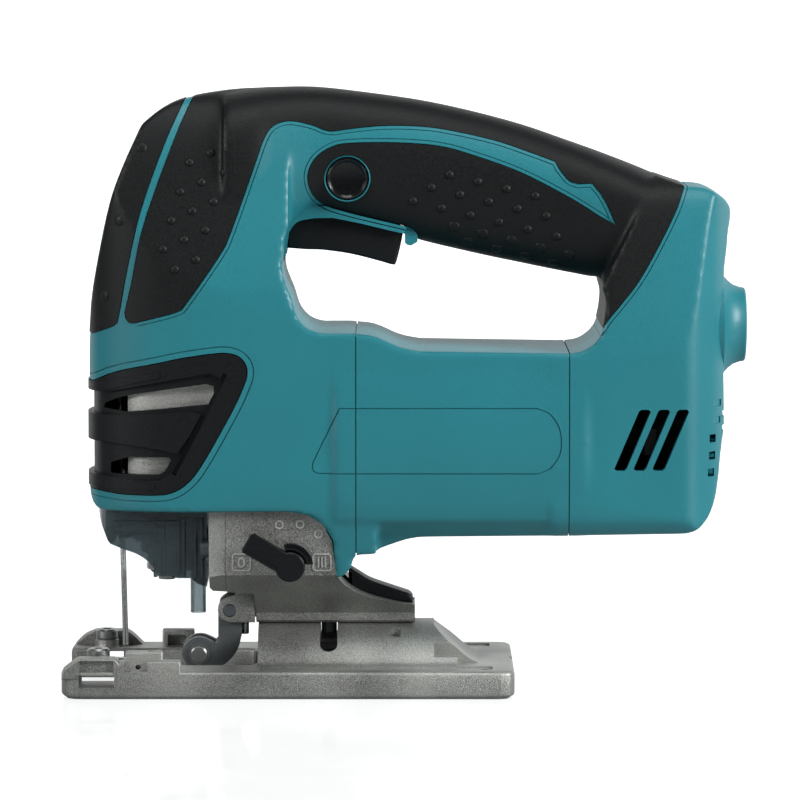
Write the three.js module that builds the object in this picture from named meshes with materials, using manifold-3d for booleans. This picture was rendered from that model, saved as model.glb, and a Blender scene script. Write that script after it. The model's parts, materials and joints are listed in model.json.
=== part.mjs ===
// Orbital jigsaw with a D-handle, a die-cast gear case and a tilting base.
// Millimetres, +Z up. The nose points along -X and the sole lies on z = 0.
import * as THREE from "three";
import { mergeVertices } from "three/addons/utils/BufferGeometryUtils.js";
import Module from "manifold-3d";

const wasm = await Module();
wasm.setup();

// ---------------------------------------------------------------- driving sizes

const GAP = 0.3; // between pieces that touch
const FAR = 200; // longer than the tool, for cutting through
const WALL = 3.2; // moulded housing wall
const RUBBER = 1.5; // thickness of the soft grip skin
const GUARD_DEPTH = 2; // thickness of the nose guard

const NOSE_X = -109.8; // front of the housing
const SEAM_FRONT_X = -17.2; // head meets motor barrel
const SEAM_REAR_X = 56.2; // motor barrel meets rear section
const REAR_X = 112.9; // back of the rear section
const BOSS_X = 118; // back of the cord inlet boss
const TOP_Z = 208.6;

const MOTOR_Z = 87.5; // armature axis
const GEAR_MODULE = 1.2;
const GEAR_TEETH = 36;
const PINION_TEETH = 7;
const GEAR_Z = MOTOR_Z + (GEAR_MODULE * (GEAR_TEETH + PINION_TEETH)) / 2;
const GEAR_X = [-60, -50];
const CRANK_RADIUS = 13; // half of the 26 mm stroke
const PLUNGER_X = -83;
const PLUNGER_RADIUS = 4.5;
const CASE_SPLIT_X = -62; // gear case meets its front cover

const BASE_FRONT_X = -118;
const BASE_REAR_X = 37.5;
const BASE_HALF_WIDTH = 38.5;
const SOLE_THICKNESS = 2.7;
const RIM_Z = 9.6; // top of the base's flat plate
const ARCH_RADIUS = 23; // the base tilts about x through (y 0, z 0)
const ARCH_INNER_RADIUS = 19;
const ARCH_X = [-51, 10];
const FOOT_GAP = 0.4; // foot saddle over the arch
const CLAMP_X = -26.5; // bolt that clamps the arch under the foot
const CLAMP_SLOT_X = [CLAMP_X - 3.4, CLAMP_X + 11.4]; // T-slot in the foot, for 8 mm of base travel
const FENCE_SCREW_X = -105.6;
const FENCE_SCREW_Y = 25;

const LEVER_AT = [-39.4, 45.2]; // orbit lever pivot, x and z
const ARM_PIVOT = [-61, 26.8]; // roller arm pivot, x and z
const ROLLER_AT = [-71.8, 11.3]; // blade roller axis, x and z
const LOCK_AT = [-19.9, 177.3];
const DIAL_Z = 154;
const CORD_Z = 126;

// ---------------------------------------------------------------- materials

const finish = (color, roughness, metalness = 0) => ({ color, roughness, metalness });
const TEAL = finish(0x237780, 0.45);
const RUBBER_BLACK = finish(0x1a1c1e, 0.85);
const PLASTIC_BLACK = finish(0x222528, 0.5);
const CAST = finish(0x8a8a84, 0.55, 0.9);
const STEEL = finish(0xa9abac, 0.3, 1);
const DARK_STEEL = finish(0x4a4d50, 0.4, 1);
const COPPER = finish(0xb87333, 0.35, 1);
const BRONZE = finish(0xa97142, 0.4, 1);
const CARBON = finish(0x2b2b2b, 0.8);
const LAMINATE = finish(0x6f7276, 0.5, 0.9);
const SMOKED = finish(0x2c3a3e, 0.15);
const CIRCUIT = finish(0x2e5a3a, 0.6);

// ---------------------------------------------------------------- shape helpers

const v2 = ([x, y]) => new THREE.Vector2(x, y);

/** A smooth run of points through a few knots. */
function smooth(knots, steps = 1) {
  return new THREE.SplineCurve(knots.map(v2)).getPoints((knots.length - 1) * steps);
}

/** The points without repeats, counter-clockwise. */
function tidied(points) {
  const last = points.length - 1;
  const clean = points.filter((p, i) => p.distanceTo(points[i === 0 ? last : i - 1]) > 0.01);
  return THREE.ShapeUtils.isClockWise(clean) ? clean.reverse() : clean;
}

/** Single points and lists of knots, which become curves, as one run of points. */
function run(parts) {
  return parts.flatMap((part) => (Array.isArray(part[0]) ? smooth(part) : [v2(part)]));
}

/** An outline from single points and from lists of knots. */
function outline(...parts) {
  return tidied(run(parts));
}

/** A half outline given on its positive side, closed by its mirror image in the first axis. */
function mirroredInX(half) {
  const upper = run(half);
  return tidied([...upper, ...upper.map((p) => new THREE.Vector2(p.x, -p.y)).reverse()]);
}

/** A half outline given on its positive side, closed by its mirror image in the second axis. */
function mirroredInY(half) {
  const right = run(half);
  return tidied([...right, ...right.map((p) => new THREE.Vector2(-p.x, p.y)).reverse()]);
}

/** The counter-clockwise outline moved inwards by a distance, without edges that would flip. */
function inset(points, distance) {
  const count = points.length;
  const next = (list, i) => list[(i + 1) % count];
  const shifted = points.map((point, i) => {
    const before = point.clone().sub(points[(i + count - 1) % count]);
    const after = next(points, i).clone().sub(point);
    const a = new THREE.Vector2(-before.y, before.x).normalize();
    const b = new THREE.Vector2(-after.y, after.x).normalize();
    const reach = distance / Math.max(0.5, 1 + a.dot(b));
    return point.clone().add(a.add(b).multiplyScalar(reach));
  });
  const keeps = (i) => {
    const was = next(points, i).clone().sub(points[i]);
    const is = next(shifted, i).clone().sub(shifted[i]);
    return was.dot(is) > 0;
  };
  return shifted.filter((_, i) => keeps(i));
}

/** A rectangle with round corners, centred. */
function roundedRectangle(width, height, radius, steps = 3) {
  const points = [];
  for (let corner = 0; corner < 4; corner += 1) {
    const cx = (corner === 0 || corner === 3 ? 1 : -1) * (width / 2 - radius);
    const cy = (corner < 2 ? 1 : -1) * (height / 2 - radius);
    for (let step = 0; step <= steps; step += 1) {
      const angle = (corner + step / steps) * (Math.PI / 2);
      points.push(v2([cx + radius * Math.cos(angle), cy + radius * Math.sin(angle)]));
    }
  }
  return points;
}

function moved(points, dx, dy) {
  return points.map((p) => new THREE.Vector2(p.x + dx, p.y + dy));
}

/** A closed geometry as a solid that can be cut and joined. */
function solid(geometry) {
  const bare = geometry.clone();
  bare.deleteAttribute("normal");
  bare.deleteAttribute("uv");
  const merged = mergeVertices(bare, 1e-4);
  const vertProperties = new Float32Array(merged.attributes.position.array);
  const triVerts = new Uint32Array(merged.index.array);
  return new wasm.Manifold(new wasm.Mesh({ numProp: 3, vertProperties, triVerts }));
}

const X = new THREE.Vector3(1, 0, 0);
const Y = new THREE.Vector3(0, 1, 0);
const Z = new THREE.Vector3(0, 0, 1);
const FRAMES = {
  x: new THREE.Matrix4().makeBasis(Y, Z, X), // outline in (y, z)
  y: new THREE.Matrix4().makeBasis(X, Z, Y.clone().negate()), // outline in (x, z)
  z: new THREE.Matrix4(), // outline in (x, y)
};

/** An outline pushed along an axis from one coordinate to another. */
function prism(axis, points, from, to, bevel = 0) {
  const settings = {
    depth: to - from - 2 * bevel,
    bevelEnabled: bevel > 0,
    bevelThickness: bevel,
    bevelSize: bevel,
    bevelOffset: -bevel,
    bevelSegments: 3,
    steps: 1,
  };
  const geometry = new THREE.ExtrudeGeometry(new THREE.Shape(points), settings);
  geometry.applyMatrix4(FRAMES[axis]);
  const start = axis === "y" ? to - bevel : from + bevel;
  const shift = { x: [start, 0, 0], y: [0, start, 0], z: [0, 0, start] }[axis];
  geometry.translate(...shift);
  return solid(geometry);
}

function box([x0, x1], [y0, y1], [z0, z1]) {
  const geometry = new THREE.BoxGeometry(x1 - x0, y1 - y0, z1 - z0);
  geometry.translate((x0 + x1) / 2, (y0 + y1) / 2, (z0 + z1) / 2);
  return solid(geometry);
}

/** A closed (radius, length) profile turned about an axis through a point. */
function turned(axis, profile, at, segments = 16) {
  const points = profile.map(v2);
  const closed = points[0].x === 0 && points.at(-1).x === 0;
  if (!closed) points.push(points[0].clone());
  const geometry = new THREE.LatheGeometry(points, segments);
  if (axis === "x") geometry.rotateZ(-Math.PI / 2);
  if (axis === "z") geometry.rotateX(Math.PI / 2);
  const [a, b] = at;
  const shift = { x: [0, a, b], y: [a, 0, b], z: [a, b, 0] }[axis];
  geometry.translate(...shift);
  return solid(geometry);
}

/** A plain round bar between two coordinates of its axis. */
function bar(axis, radius, from, to, at, segments = 16) {
  const profile = [[0, from], [radius, from], [radius, to], [0, to]];
  return turned(axis, profile, at, segments);
}

/** A round tube between two coordinates of its axis. */
function tube(axis, inner, outer, from, to, at, segments = 16) {
  const profile = [[inner, from], [outer, from], [outer, to], [inner, to]];
  return turned(axis, profile, at, segments);
}

function joined(...solids) {
  return solids.reduce((sum, piece) => sum.add(piece));
}

function common(...solids) {
  return solids.reduce((sum, piece) => sum.intersect(piece));
}

function cut(from, ...tools) {
  return tools.reduce((rest, tool) => rest.subtract(tool), from);
}

/** Both sides of a piece that exists once to the left and once to the right. */
function bothSides(piece) {
  return joined(piece, piece.mirror([0, 1, 0]));
}

const group = new THREE.Group();

/** Adds one named sub-part to the tool. */
function add(name, shape, look) {
  const mesh = shape.getMesh();
  const geometry = new THREE.BufferGeometry();
  geometry.setAttribute("position", new THREE.BufferAttribute(mesh.vertProperties, 3));
  geometry.setIndex(new THREE.BufferAttribute(mesh.triVerts, 1));
  geometry.computeVertexNormals();
  const part = new THREE.Mesh(geometry, new THREE.MeshStandardMaterial(look));
  part.name = name;
  group.add(part);
}

// ---------------------------------------------------------------- housing outlines

const HEAD_SIDE = outline(
  [-106.7, 61.5], [-109.7, 68], [NOSE_X, 108], [-109, 123],
  [[-107.7, 138], [-104.2, 155.5], [-97, 180.7], [-91, 195.4]],
  [[-82.6, 201.7], [-73.8, 205], [-56.5, 207.9], [-44, TOP_Z]],
  [-40, TOP_Z], [-40, 158.8], [-41.2, 152.5],
  [[-40.3, 142], [-36.6, 131.1], [-33.2, 127.3], [-28, 125.6]],
  [SEAM_FRONT_X, 125.6], [SEAM_FRONT_X, 48.5], [-18.7, 43.7], [-21.5, 40.7], [-24.4, 40.1],
  [-24.8, 53.7], [-30.5, 60.3], [-38, 63.8], [-62.6, 63.8],
);
const HEAD_INSIDE = outline(
  [-103.5, 66], [-106.4, 72], [-106.4, 121],
  [[-104.6, 137], [-101, 155], [-94, 180], [-88.5, 193]],
  [-80, 198.5], [-72, 201.8], [-56, 204.6], [-43.5, 205.3], [-43.5, 160], [-44.4, 152.5],
  [[-43.5, 141], [-39.5, 130], [-36, 125], [-29, 122.4]],
  [SEAM_FRONT_X - WALL, 122.4], [SEAM_FRONT_X - WALL, 66],
);
const HEAD_PLAN = mirroredInX([
  [[NOSE_X, 0], [-108.4, 11], [-104, 19.5], [-94, 25.5], [-78, 29], [-50, 31]],
  [SEAM_FRONT_X + 1, 31.5],
]);
const HEAD_SECTION = mirroredInY([
  [0, 38], [26, 38], [27.5, 50], [29, 58], [31, 68], [31.5, 80], [31.5, 122],
  [[30, 145], [24.5, 172], [18, 192], [10, 204], [0, TOP_Z + 0.2]],
]);

const HANDLE_SIDE = outline(
  [[-62, 207.2], [-44, TOP_Z], [-18.8, 206.9], [12, 202.1], [45.2, 193.3], [82.2, 179.7], [96, 174.6]],
  [98, 118], [65, 118], [67.6, 132], [67, 140], [62, 143.6],
  [31.8, 149.4], [4.9, 155.2], [-30.6, 164.6], [-40.3, 158.8], [-62, 158.8],
);
const HANDLE_SLICES = [[17, 4], [15, 1.5], [12.5, 0]]; // half width and edge distance of each slice

const REAR_SIDE = outline(
  [SEAM_REAR_X + GAP, 54.7], [SEAM_REAR_X + GAP, 119],
  [[60.5, 119.4], [65.6, 123], [67.6, 131.9], [68.1, 136.9]],
  [[74, 152], [84, 168], [97, 174.6], [104, 174], [109.9, 170.6], [REAR_X, 166]],
  [110, 146.2], [112, 126], [110.4, 91.3], [107.9, 73],
  [[106.5, 65.8], [103.4, 59.6], [98.3, 56], [86, 55.3]],
);
const REAR_PLAN = mirroredInX([
  [SEAM_REAR_X - 1, 32], [76, 31.5],
  [[90, 30.2], [102, 26.5], [109, 20.5], [REAR_X, 8], [REAR_X + 0.3, 0]],
]);
const REAR_SECTION = mirroredInY([
  [0, 54], [24, 54], [30, 60], [32, 70], [32, 108],
  [[30, 124], [26, 142], [20, 158], [15, 170], [8, 175]],
  [0, 176],
]);

const BARREL_SIDE = outline(
  [SEAM_FRONT_X + GAP, 48.6], [-10, 49.5], [-0.9, 52.9], [4.2, 54.1],
  [SEAM_REAR_X, 54.7], [SEAM_REAR_X, 118.8], [4.7, 119.6], [-2, 121.1], [-10.5, 124.7],
  [SEAM_FRONT_X + GAP, 125.6],
);
const BARREL_SECTION = mirroredInY([
  [0, 48], [22, 48], [24, 54.6], [30.5, 61], [[32.2, 70], [33, 87], [32.2, 104], [31, 113]],
  [27, 116], [21, 118.8], [19, 126], [0, 126],
]);

/** The grip's form in three slices, narrower towards the edges, moved inwards by a distance. */
function handleForm(distance) {
  const slices = HANDLE_SLICES.map(([halfWidth, edge]) => {
    const half = halfWidth - distance;
    return prism("y", inset(HANDLE_SIDE, distance + edge), -half, half);
  });
  return joined(...slices);
}

/** The outer form of head, handle and rear section, moved inwards by a distance. */
function housingForm(distance) {
  const head = common(
    prism("y", inset(HEAD_SIDE, distance), -40, 40),
    prism("z", inset(HEAD_PLAN, distance), 0, FAR + 20),
    prism("x", inset(HEAD_SECTION, distance), -FAR, FAR),
  );
  const handle = handleForm(distance);
  const rear = common(
    prism("y", inset(REAR_SIDE, distance), -40, 40),
    prism("z", inset(REAR_PLAN, distance), 0, FAR + 20),
    prism("x", inset(REAR_SECTION, distance), -FAR, FAR),
  );
  return joined(head, handle, rear);
}

// Soft skin: the front pad, and the side, top and grip skin in one run on each side.
const PAD_AREA = outline(
  [-116, 124.1], [-107.7, 124.1], [-98.9, 127.8],
  [[-97.6, 133.7], [-95.1, 147.1], [-90.4, 167.1], [-82.8, 188.8], [-76.1, 204.2]],
  [-75.5, 214], [-116, 214],
);
const SKIN_AREA = outline(
  [-95.5, 130.4], [-93.5, 128.4], [-78.1, 132.6],
  [[-75.2, 135.1], [-63.4, 151.7], [-51.8, 181.6], [-47.6, 192.4], [-39.3, 197.2]],
  [[-26.1, 193.5], [-7.8, 195.5], [14.8, 194], [44.6, 185.8], [52.9, 180], [64.1, 175.8]],
  [71.9, 161.7],
  [[56.3, 170.8], [39.7, 179.5], [11.9, 188.4], [-18.6, 189.4], [-31.1, 184], [-33.4, 178.2]],
  [[-27.8, 168.3], [-18.7, 165.6], [-2, 161.6], [4.2, 156.6]],
  [4.2, 148], [60, 138], [64, 126.5], [66.8, 125.8],
  [[74.1, 135.4], [86.5, 154.7], [92.3, 166.3], [95.2, 174.7]],
  [96, 190], [40, 214], [-72, 214], [-73, 204.7],
  [[-78.4, 192.3], [-85.2, 174], [-90.2, 158.2], [-93.6, 141.5]],
);
const GUARD_AREA = outline(
  [-116, 107], [-107.7, 107.4], [-101.8, 110.3],
  [[-95.9, 112.1], [-76.2, 116.3], [-60.8, 118.2], [-56.8, 117.4], [-54.2, 113.5]],
  [[-54.9, 108.3], [-58.5, 100], [-65.2, 87.7], [-71.6, 77], [-75.1, 73.1], [-84.2, 69.3]],
  [-96.1, 69.3], [-106.7, 70.3], [-116, 71],
);
const GUARD_SLOTS = [
  outline([-103.3, 100.3], [-84, 105.3], [-66.3, 107.7], [-65.1, 106.5], [-67.5, 100.2], [-94.6, 97.5]),
  outline([-101, 79.6], [-94.7, 82.2], [-80.2, 82.2], [-84.1, 76.1], [-100.7, 76.1]),
];

/** What lies outside the housing's form moved inwards by a depth, over a side area. */
function outsideOf(area, depth) {
  return cut(prism("y", area, -60, 60), housingForm(depth));
}

/** The skin over a side area, on the outside of the housing. */
function skinOn(area, thickness) {
  return outsideOf(area, thickness).intersect(housingForm(0));
}

const LEFT = box([-FAR, FAR], [-60, -GAP / 2], [0, FAR + 20]);
const RIGHT = box([-FAR, FAR], [GAP / 2, 60], [0, FAR + 20]);

// ---------------------------------------------------------------- housing pieces

/** Three slanted cooling slots through one side of the rear section. */
function coolingSlots() {
  const slots = [0, 7.4, 14.4].map((shift) =>
    outline([71.8 + shift, 78.4], [75 + shift, 78.4], [83.5 + shift, 98.6], [80.3 + shift, 98.6]));
  return joined(...slots.map((slot) => prism("y", slot, -50, 50)));
}

/** Everything that is hollow or open in the two housing halves. */
function housingHollows() {
  const headInside = common(
    prism("y", HEAD_INSIDE, -40, 40),
    prism("z", inset(HEAD_PLAN, WALL), 0, FAR + 20),
    prism("x", inset(HEAD_SECTION, WALL), -FAR, FAR),
  );
  const handleInside = handleForm(WALL);
  const rearInside = common(
    prism("y", inset(REAR_SIDE, WALL), -40, 40),
    prism("z", inset(REAR_PLAN, WALL), 0, FAR + 20),
    prism("x", inset(REAR_SECTION, WALL), -FAR, FAR),
  );
  return joined(
    headInside, handleInside, rearInside,
    box([-28, SEAM_FRONT_X + 2], [-26.5, 26.5], [50, 120]),
    box([SEAM_REAR_X - 2, 62], [-26, 26], [60, 113]),
    box([-68.3, -22], [-26.8, 26.8], [30, 75]),
    box([-104, -60], [-17, 17], [55, 75]),
    coolingSlots(),
    prism("y", inset(GUARD_AREA, -0.4), -60, 60),
    box([-43, 3.5], [-9.8, 9.8], [140, 172]),
    bar("x", 6.3, 100, 125, [0, CORD_Z]),
    bar("x", 9.6, 100, 125, [0, DIAL_Z]),
    bar("y", 7.6, -60, -8, LOCK_AT),
  );
}

function addHousing() {
  const boss = turned("x", [[0, 106], [13, 106], [13, BOSS_X - 0.6], [12.4, BOSS_X], [0, BOSS_X]],
    [0, CORD_Z], 32);
  const skinRecess = joined(
    outsideOf(inset(SKIN_AREA, -GAP), RUBBER + GAP),
    outsideOf(inset(PAD_AREA, -GAP), RUBBER + GAP),
  );
  const shell = cut(joined(housingForm(0), boss), housingHollows(), skinRecess);
  add("handle_shell_left", shell.intersect(LEFT), TEAL);
  add("handle_shell_right", cut(shell.intersect(RIGHT), ...screwPlaces().map(screwHole)), TEAL);

  const openings = joined(
    box([-43, 3.5], [-9.8, 9.8], [140, 172]),
    bar("y", 8.2, -60, 0, LOCK_AT),
  );
  const skin = cut(skinOn(SKIN_AREA, RUBBER), openings);
  add("grip_overmould_left", skin.intersect(LEFT), RUBBER_BLACK);
  add("grip_overmould_right", cut(skin.intersect(RIGHT), ...screwPlaces().map(screwHole)), RUBBER_BLACK);
  add("front_grip_pad", skinOn(PAD_AREA, RUBBER), RUBBER_BLACK);
}

function addMotorHousing() {
  const form = prism("y", BARREL_SIDE, -40, 40).intersect(prism("x", BARREL_SECTION, -FAR, FAR));
  const inside = joined(
    prism("x", inset(BARREL_SECTION, WALL), -14, SEAM_REAR_X + 5)
      .intersect(box([-14, SEAM_REAR_X + 5], [-40, 40], [57, 116])),
    bar("x", 26, -30, 0, [0, MOTOR_Z], 32),
  );
  add("motor_housing", cut(form, inside), TEAL);
}

function addNoseGuard() {
  const guard = cut(
    skinOn(GUARD_AREA, GUARD_DEPTH),
    ...GUARD_SLOTS.map((slot) => prism("y", slot, -60, 60)),
  );
  add("nose_guard", guard, PLASTIC_BLACK);
}

/** Centres of the housing screw holes, on the right side, as x and z. */
function screwPlaces() {
  return [[-88, 124], [-32, 118], [-34, 200], [46, 183], [100, 160], [70, 64], [96, 70]];
}

function screwHole([x, z]) {
  return bar("y", 3.6, 8, 60, [x, z], 16);
}

function addCordBushing() {
  const profile = [[4, 101], [5.9, 101], [5.9, BOSS_X - 0.4], [4, BOSS_X - 0.4]];
  add("cord_bushing", turned("x", profile, [0, CORD_Z]), RUBBER_BLACK);
}

// ---------------------------------------------------------------- controls

function addTrigger() {
  const blade = outline(
    [-40.6, 153], [-28.1, 152.3], [-18.9, 151.1], [-4.6, 147.2], [-3.2, 148.2],
    [-0.6, 158], [-2, 163], [-36, 165], [-41, 160],
  );
  add("trigger", prism("y", blade, -9.2, 9.2, 1), PLASTIC_BLACK);
}

function addLockButton() {
  const profile = [[0, -17.2], [6.2, -17.2], [7, -16.6], [7, -14.4], [5, -14.4], [5, -12.4], [0, -12.4]];
  add("lock_button", turned("y", profile, LOCK_AT), PLASTIC_BLACK);
}

function addSpeedDial() {
  const knob = turned("x", [[0, 105], [8.8, 105], [8.8, 109.6], [0, 109.6]], [0, DIAL_Z], 28);
  const grip = box([107.2, 112], [-1.3, 1.3], [DIAL_Z + 2, DIAL_Z + 20]);
  add("speed_dial", cut(knob, grip), PLASTIC_BLACK);
}

function addSwitch() {
  add("switch_body", box([-34, 8], [-8.2, 8.2], [171, 191]), PLASTIC_BLACK);
  add("switch_capacitor", box([16, 34], [-7, 7], [168, 182]), TEAL);
  add("speed_controller", box([86, 102.5], [-11, 11], [142, 164]), CIRCUIT);
}

// ---------------------------------------------------------------- motor

const MOTOR_AT = [0, MOTOR_Z];

function addMotor() {
  add("armature_shaft", joined(bar("x", 4, -49, 86, MOTOR_AT), pinion()), STEEL);
  add("armature_core", tube("x", 4.3, 17.2, 2, 40, MOTOR_AT, 32), LAMINATE);
  add("commutator", tube("x", 4.3, 11, 46, 60, MOTOR_AT), COPPER);
  add("cooling_fan", fan(), PLASTIC_BLACK);
  add("field_stator", stator(), LAMINATE);
  add("front_bearing", tube("x", 4.3, 10.5, -37, -29, MOTOR_AT), STEEL);
  add("rear_bearing", tube("x", 4.3, 10.5, 76, 84, MOTOR_AT), STEEL);
  const seat = tube("x", 10.8, 13, 75, 86, MOTOR_AT);
  const spider = joined(seat, box([82, 86], [-27, -12], [83, 92]), box([82, 86], [12, 27], [83, 92]));
  add("bearing_bracket", cut(spider, bar("x", 10.8, 70, 90, MOTOR_AT)), PLASTIC_BLACK);
  addBrush("left", -1);
  addBrush("right", 1);
}

/** A carbon brush in its brass guide, on one side of the commutator. */
function addBrush(side, sign) {
  const span = (from, to) => (sign > 0 ? [from, to] : [-to, -from]);
  const guide = cut(
    box([48, 58], span(14, 25.5), [MOTOR_Z - 6, MOTOR_Z + 6]),
    box([50, 56], span(0, 24.5), [MOTOR_Z - 4, MOTOR_Z + 4]),
  );
  add(`brush_holder_${side}`, guide, BRONZE);
  const brush = box([50.3, 55.7], span(11.4, 22), [MOTOR_Z - 3.7, MOTOR_Z + 3.7]);
  add(`carbon_brush_${side}`, brush, CARBON);
}

/** A spur gear outline with straight-sided teeth, the first tooth at an angle. */
function gearOutline(teeth, tip, root, tipShare, rootShare, firstTooth) {
  const points = [];
  const pitch = (2 * Math.PI) / teeth;
  for (let i = 0; i < teeth; i += 1) {
    const middle = firstTooth + i * pitch;
    const corners = [[root, -rootShare], [tip, -tipShare], [tip, tipShare], [root, rootShare]];
    for (const [radius, share] of corners) {
      const angle = middle + (share * pitch) / 2;
      points.push(v2([radius * Math.cos(angle), radius * Math.sin(angle)]));
    }
  }
  return points;
}

/** The pinion cut on the front end of the armature shaft. */
function pinion() {
  const tip = (PINION_TEETH / 2) * GEAR_MODULE + 0.75;
  const teeth = gearOutline(PINION_TEETH, tip, tip - 2.1, 0.2, 0.5, Math.PI / 2);
  return prism("x", moved(teeth, 0, MOTOR_Z), GEAR_X[0] - 0.4, GEAR_X[1] + 1.5);
}

function fan() {
  const hub = tube("x", 4.3, 9, -14, -4, MOTOR_AT);
  const disc = tube("x", 8, 24, -6.5, -4, MOTOR_AT, 32);
  const blades = [];
  for (let i = 0; i < 11; i += 1) {
    const blade = box([-14, -5], [8, 23.5], [-0.8, 0.8]);
    blades.push(blade.rotate([(i * 360) / 11, 0, 0]).translate([0, 0, MOTOR_Z]));
  }
  return joined(hub, disc, ...blades);
}

function stator() {
  const ring = prism("x", moved(roundedRectangle(56, 52, 18, 5), 0, MOTOR_Z), 1, 41);
  return cut(ring, bar("x", 18.2, 0, 42, MOTOR_AT, 32));
}

// ---------------------------------------------------------------- gear train and plunger

const GEAR_AT = [0, GEAR_Z];

function addGearTrain() {
  const tip = (GEAR_TEETH / 2) * GEAR_MODULE + 0.75;
  const firstTooth = -Math.PI / 2 + Math.PI / GEAR_TEETH;
  const teeth = gearOutline(GEAR_TEETH, tip, tip - 2.1, 0.3, 0.6, firstTooth);
  const blank = prism("x", moved(teeth, 0, GEAR_Z), GEAR_X[0], GEAR_X[1]);
  const pinHole = bar("x", 3.3, -FAR, FAR, [CRANK_RADIUS, GEAR_Z]);
  add("drive_gear", cut(blank, bar("x", 7, -FAR, FAR, GEAR_AT), pinHole), STEEL);
  add("gear_bearing", tube("x", 4.3, 6.7, GEAR_X[0], GEAR_X[1], GEAR_AT), STEEL);
  add("gear_spindle", bar("x", 4, GEAR_X[0] - 0.5, -29, GEAR_AT), STEEL);
  const pin = [[0, -69.5], [3.6, -69.5], [3.6, -68.6], [3, -68.6], [3, -50.2], [0, -50.2]];
  add("crank_pin", turned("x", pin, [CRANK_RADIUS, GEAR_Z]), STEEL);
  add("crank_roller", tube("x", 3.3, 5.4, -68.3, -60.6, [CRANK_RADIUS, GEAR_Z]), STEEL);
}

const PLUNGER_AT = [PLUNGER_X, 0];

function addPlunger() {
  add("plunger", bar("z", PLUNGER_RADIUS, 42, 160, PLUNGER_AT), STEEL);
  const block = box([-80, -70], [-21, 21], [GEAR_Z - 9, GEAR_Z + 9]);
  const slot = box([-75, -69], [-18.6, 18.6], [GEAR_Z - 5.8, GEAR_Z + 5.8]);
  add("yoke", cut(block, slot, bar("z", PLUNGER_RADIUS + GAP, 0, FAR, PLUNGER_AT)), STEEL);
  const throat = cut(
    bar("z", 5.9, 36.6, 55, PLUNGER_AT),
    bar("z", PLUNGER_RADIUS + GAP, 41.7, FAR, PLUNGER_AT),
    box([-90, -76], [-0.9, 0.9], [30, 41.4]),
  );
  add("blade_clamp", throat, DARK_STEEL);
  add("clamp_sleeve", tube("z", 6.2, 7.2, 39, 50, PLUNGER_AT), STEEL);
  add("plunger_bush_lower", tube("z", 4.7, 8.5, 76, 86, PLUNGER_AT), BRONZE);
  add("plunger_bush_upper", tube("z", 4.7, 8.5, 139.5, 149.5, PLUNGER_AT), BRONZE);
}

function addCounterweight() {
  const block = box([-68.5, -63], [-20, 20], [73.2, 84.5]);
  add("counterweight", cut(block, box([-70, -60], [-5.5, 5.5], [78, 90])), DARK_STEEL);
}

// ---------------------------------------------------------------- gear case

const FOOT_SIDE = outline(
  [-61.7, 139], [-61.7, 39.9], [-51.6, 34], [-51.6, 20],
  [3.4, 20], [3.4, 29],
  [[-4.8, 30.4], [-12.8, 32.5], [-18.1, 34.9], [-24.2, 41]],
  [-25.2, 53.5], [-27.2, 56.9], [-27.2, 118.5], [-45, 120.8], [-46, 139],
);
const FOOT_SECTION = mirroredInY([
  [0, 18], [7.6, 18], [7.6, 27.4], [14, 30], [26, 42], [26, 60], [26.3, 66], [26.3, 139], [0, 139],
]);

function addGearCase() {
  const form = prism("y", FOOT_SIDE, -40, 40).intersect(prism("x", FOOT_SECTION, -FAR, FAR));
  const hollow = joined(
    box([-63, -40], [-24, 24], [64.5, 117.5]),
    box([-63, -48.4], [-24, 24], [110, 137]),
    bar("x", 10.8, -38, 0, MOTOR_AT),
    bar("x", 6, -45, -26, MOTOR_AT),
    bar("x", 4.3, -45, -20, GEAR_AT),
    bar("x", ARCH_RADIUS + FOOT_GAP, -FAR, FAR, [0, 0], 64),
    box(CLAMP_SLOT_X, [-3.1, 3.1], [18, 26]),
    box(CLAMP_SLOT_X, [-5.4, 5.4], [24.2, 28.5]),
    box([-22, 4], [-6.2, 6.2], [28.9, 50]),
    bar("y", 3.4, -30, 8, LEVER_AT),
    box([-45, -36], [-8, 8], [40, 50]),
    box([-58.5, -50], [-4, 4], [30, 70]),
  );
  add("gear_housing", cut(form, hollow), CAST);
}

const COVER_PLAN = mirroredInX([
  [CASE_SPLIT_X - GAP, 26], [-80, 24.3], [-92, 20.5], [-99.5, 14.5], [-102.5, 6], [-103, 0],
]);
const COVER_SIDE = outline(
  [CASE_SPLIT_X - GAP, 139], [CASE_SPLIT_X - GAP, 40], [-67.4, 36.5], [-67.6, 66.8],
  [-76, 70], [-99, 70], [-103, 74], [-103, 110], [-94, 122], [-90, 139],
);

function addGearCaseCover() {
  const form = prism("y", COVER_SIDE, -40, 40).intersect(prism("z", COVER_PLAN, 0, FAR));
  const hollow = joined(
    prism("z", inset(COVER_PLAN, 2.4), 74, 136).intersect(
      prism("y", outline([-60, 74], [-96, 74], [-99.5, 78], [-99.5, 108], [-91, 119], [-87, 136], [-60, 136]), -40, 40)),
    box([-69, -60], [-23.6, 23.6], [64.5, 137]),
    box([-69, -60], [-8, 8], [30, 60]),
    bar("z", 5, 60, 145, PLUNGER_AT),
    bar("z", 8.8, 71.3, 86.5, PLUNGER_AT),
  );
  const collar = cut(tube("z", 8.8, 11, 70, 88, PLUNGER_AT), box([-72, -60], [-20, 20], [60, 90]));
  const top = cut(tube("z", 8.8, 11, 136.5, 150, PLUNGER_AT), box([-72, -60], [-20, 20], [130, 160]));
  const cover = cut(form, hollow).add(collar).add(top).subtract(bar("z", 8.8, 137.5, 160, PLUNGER_AT));
  add("gear_housing_cover", cover, CAST);
}

// ---------------------------------------------------------------- orbit action

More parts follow.
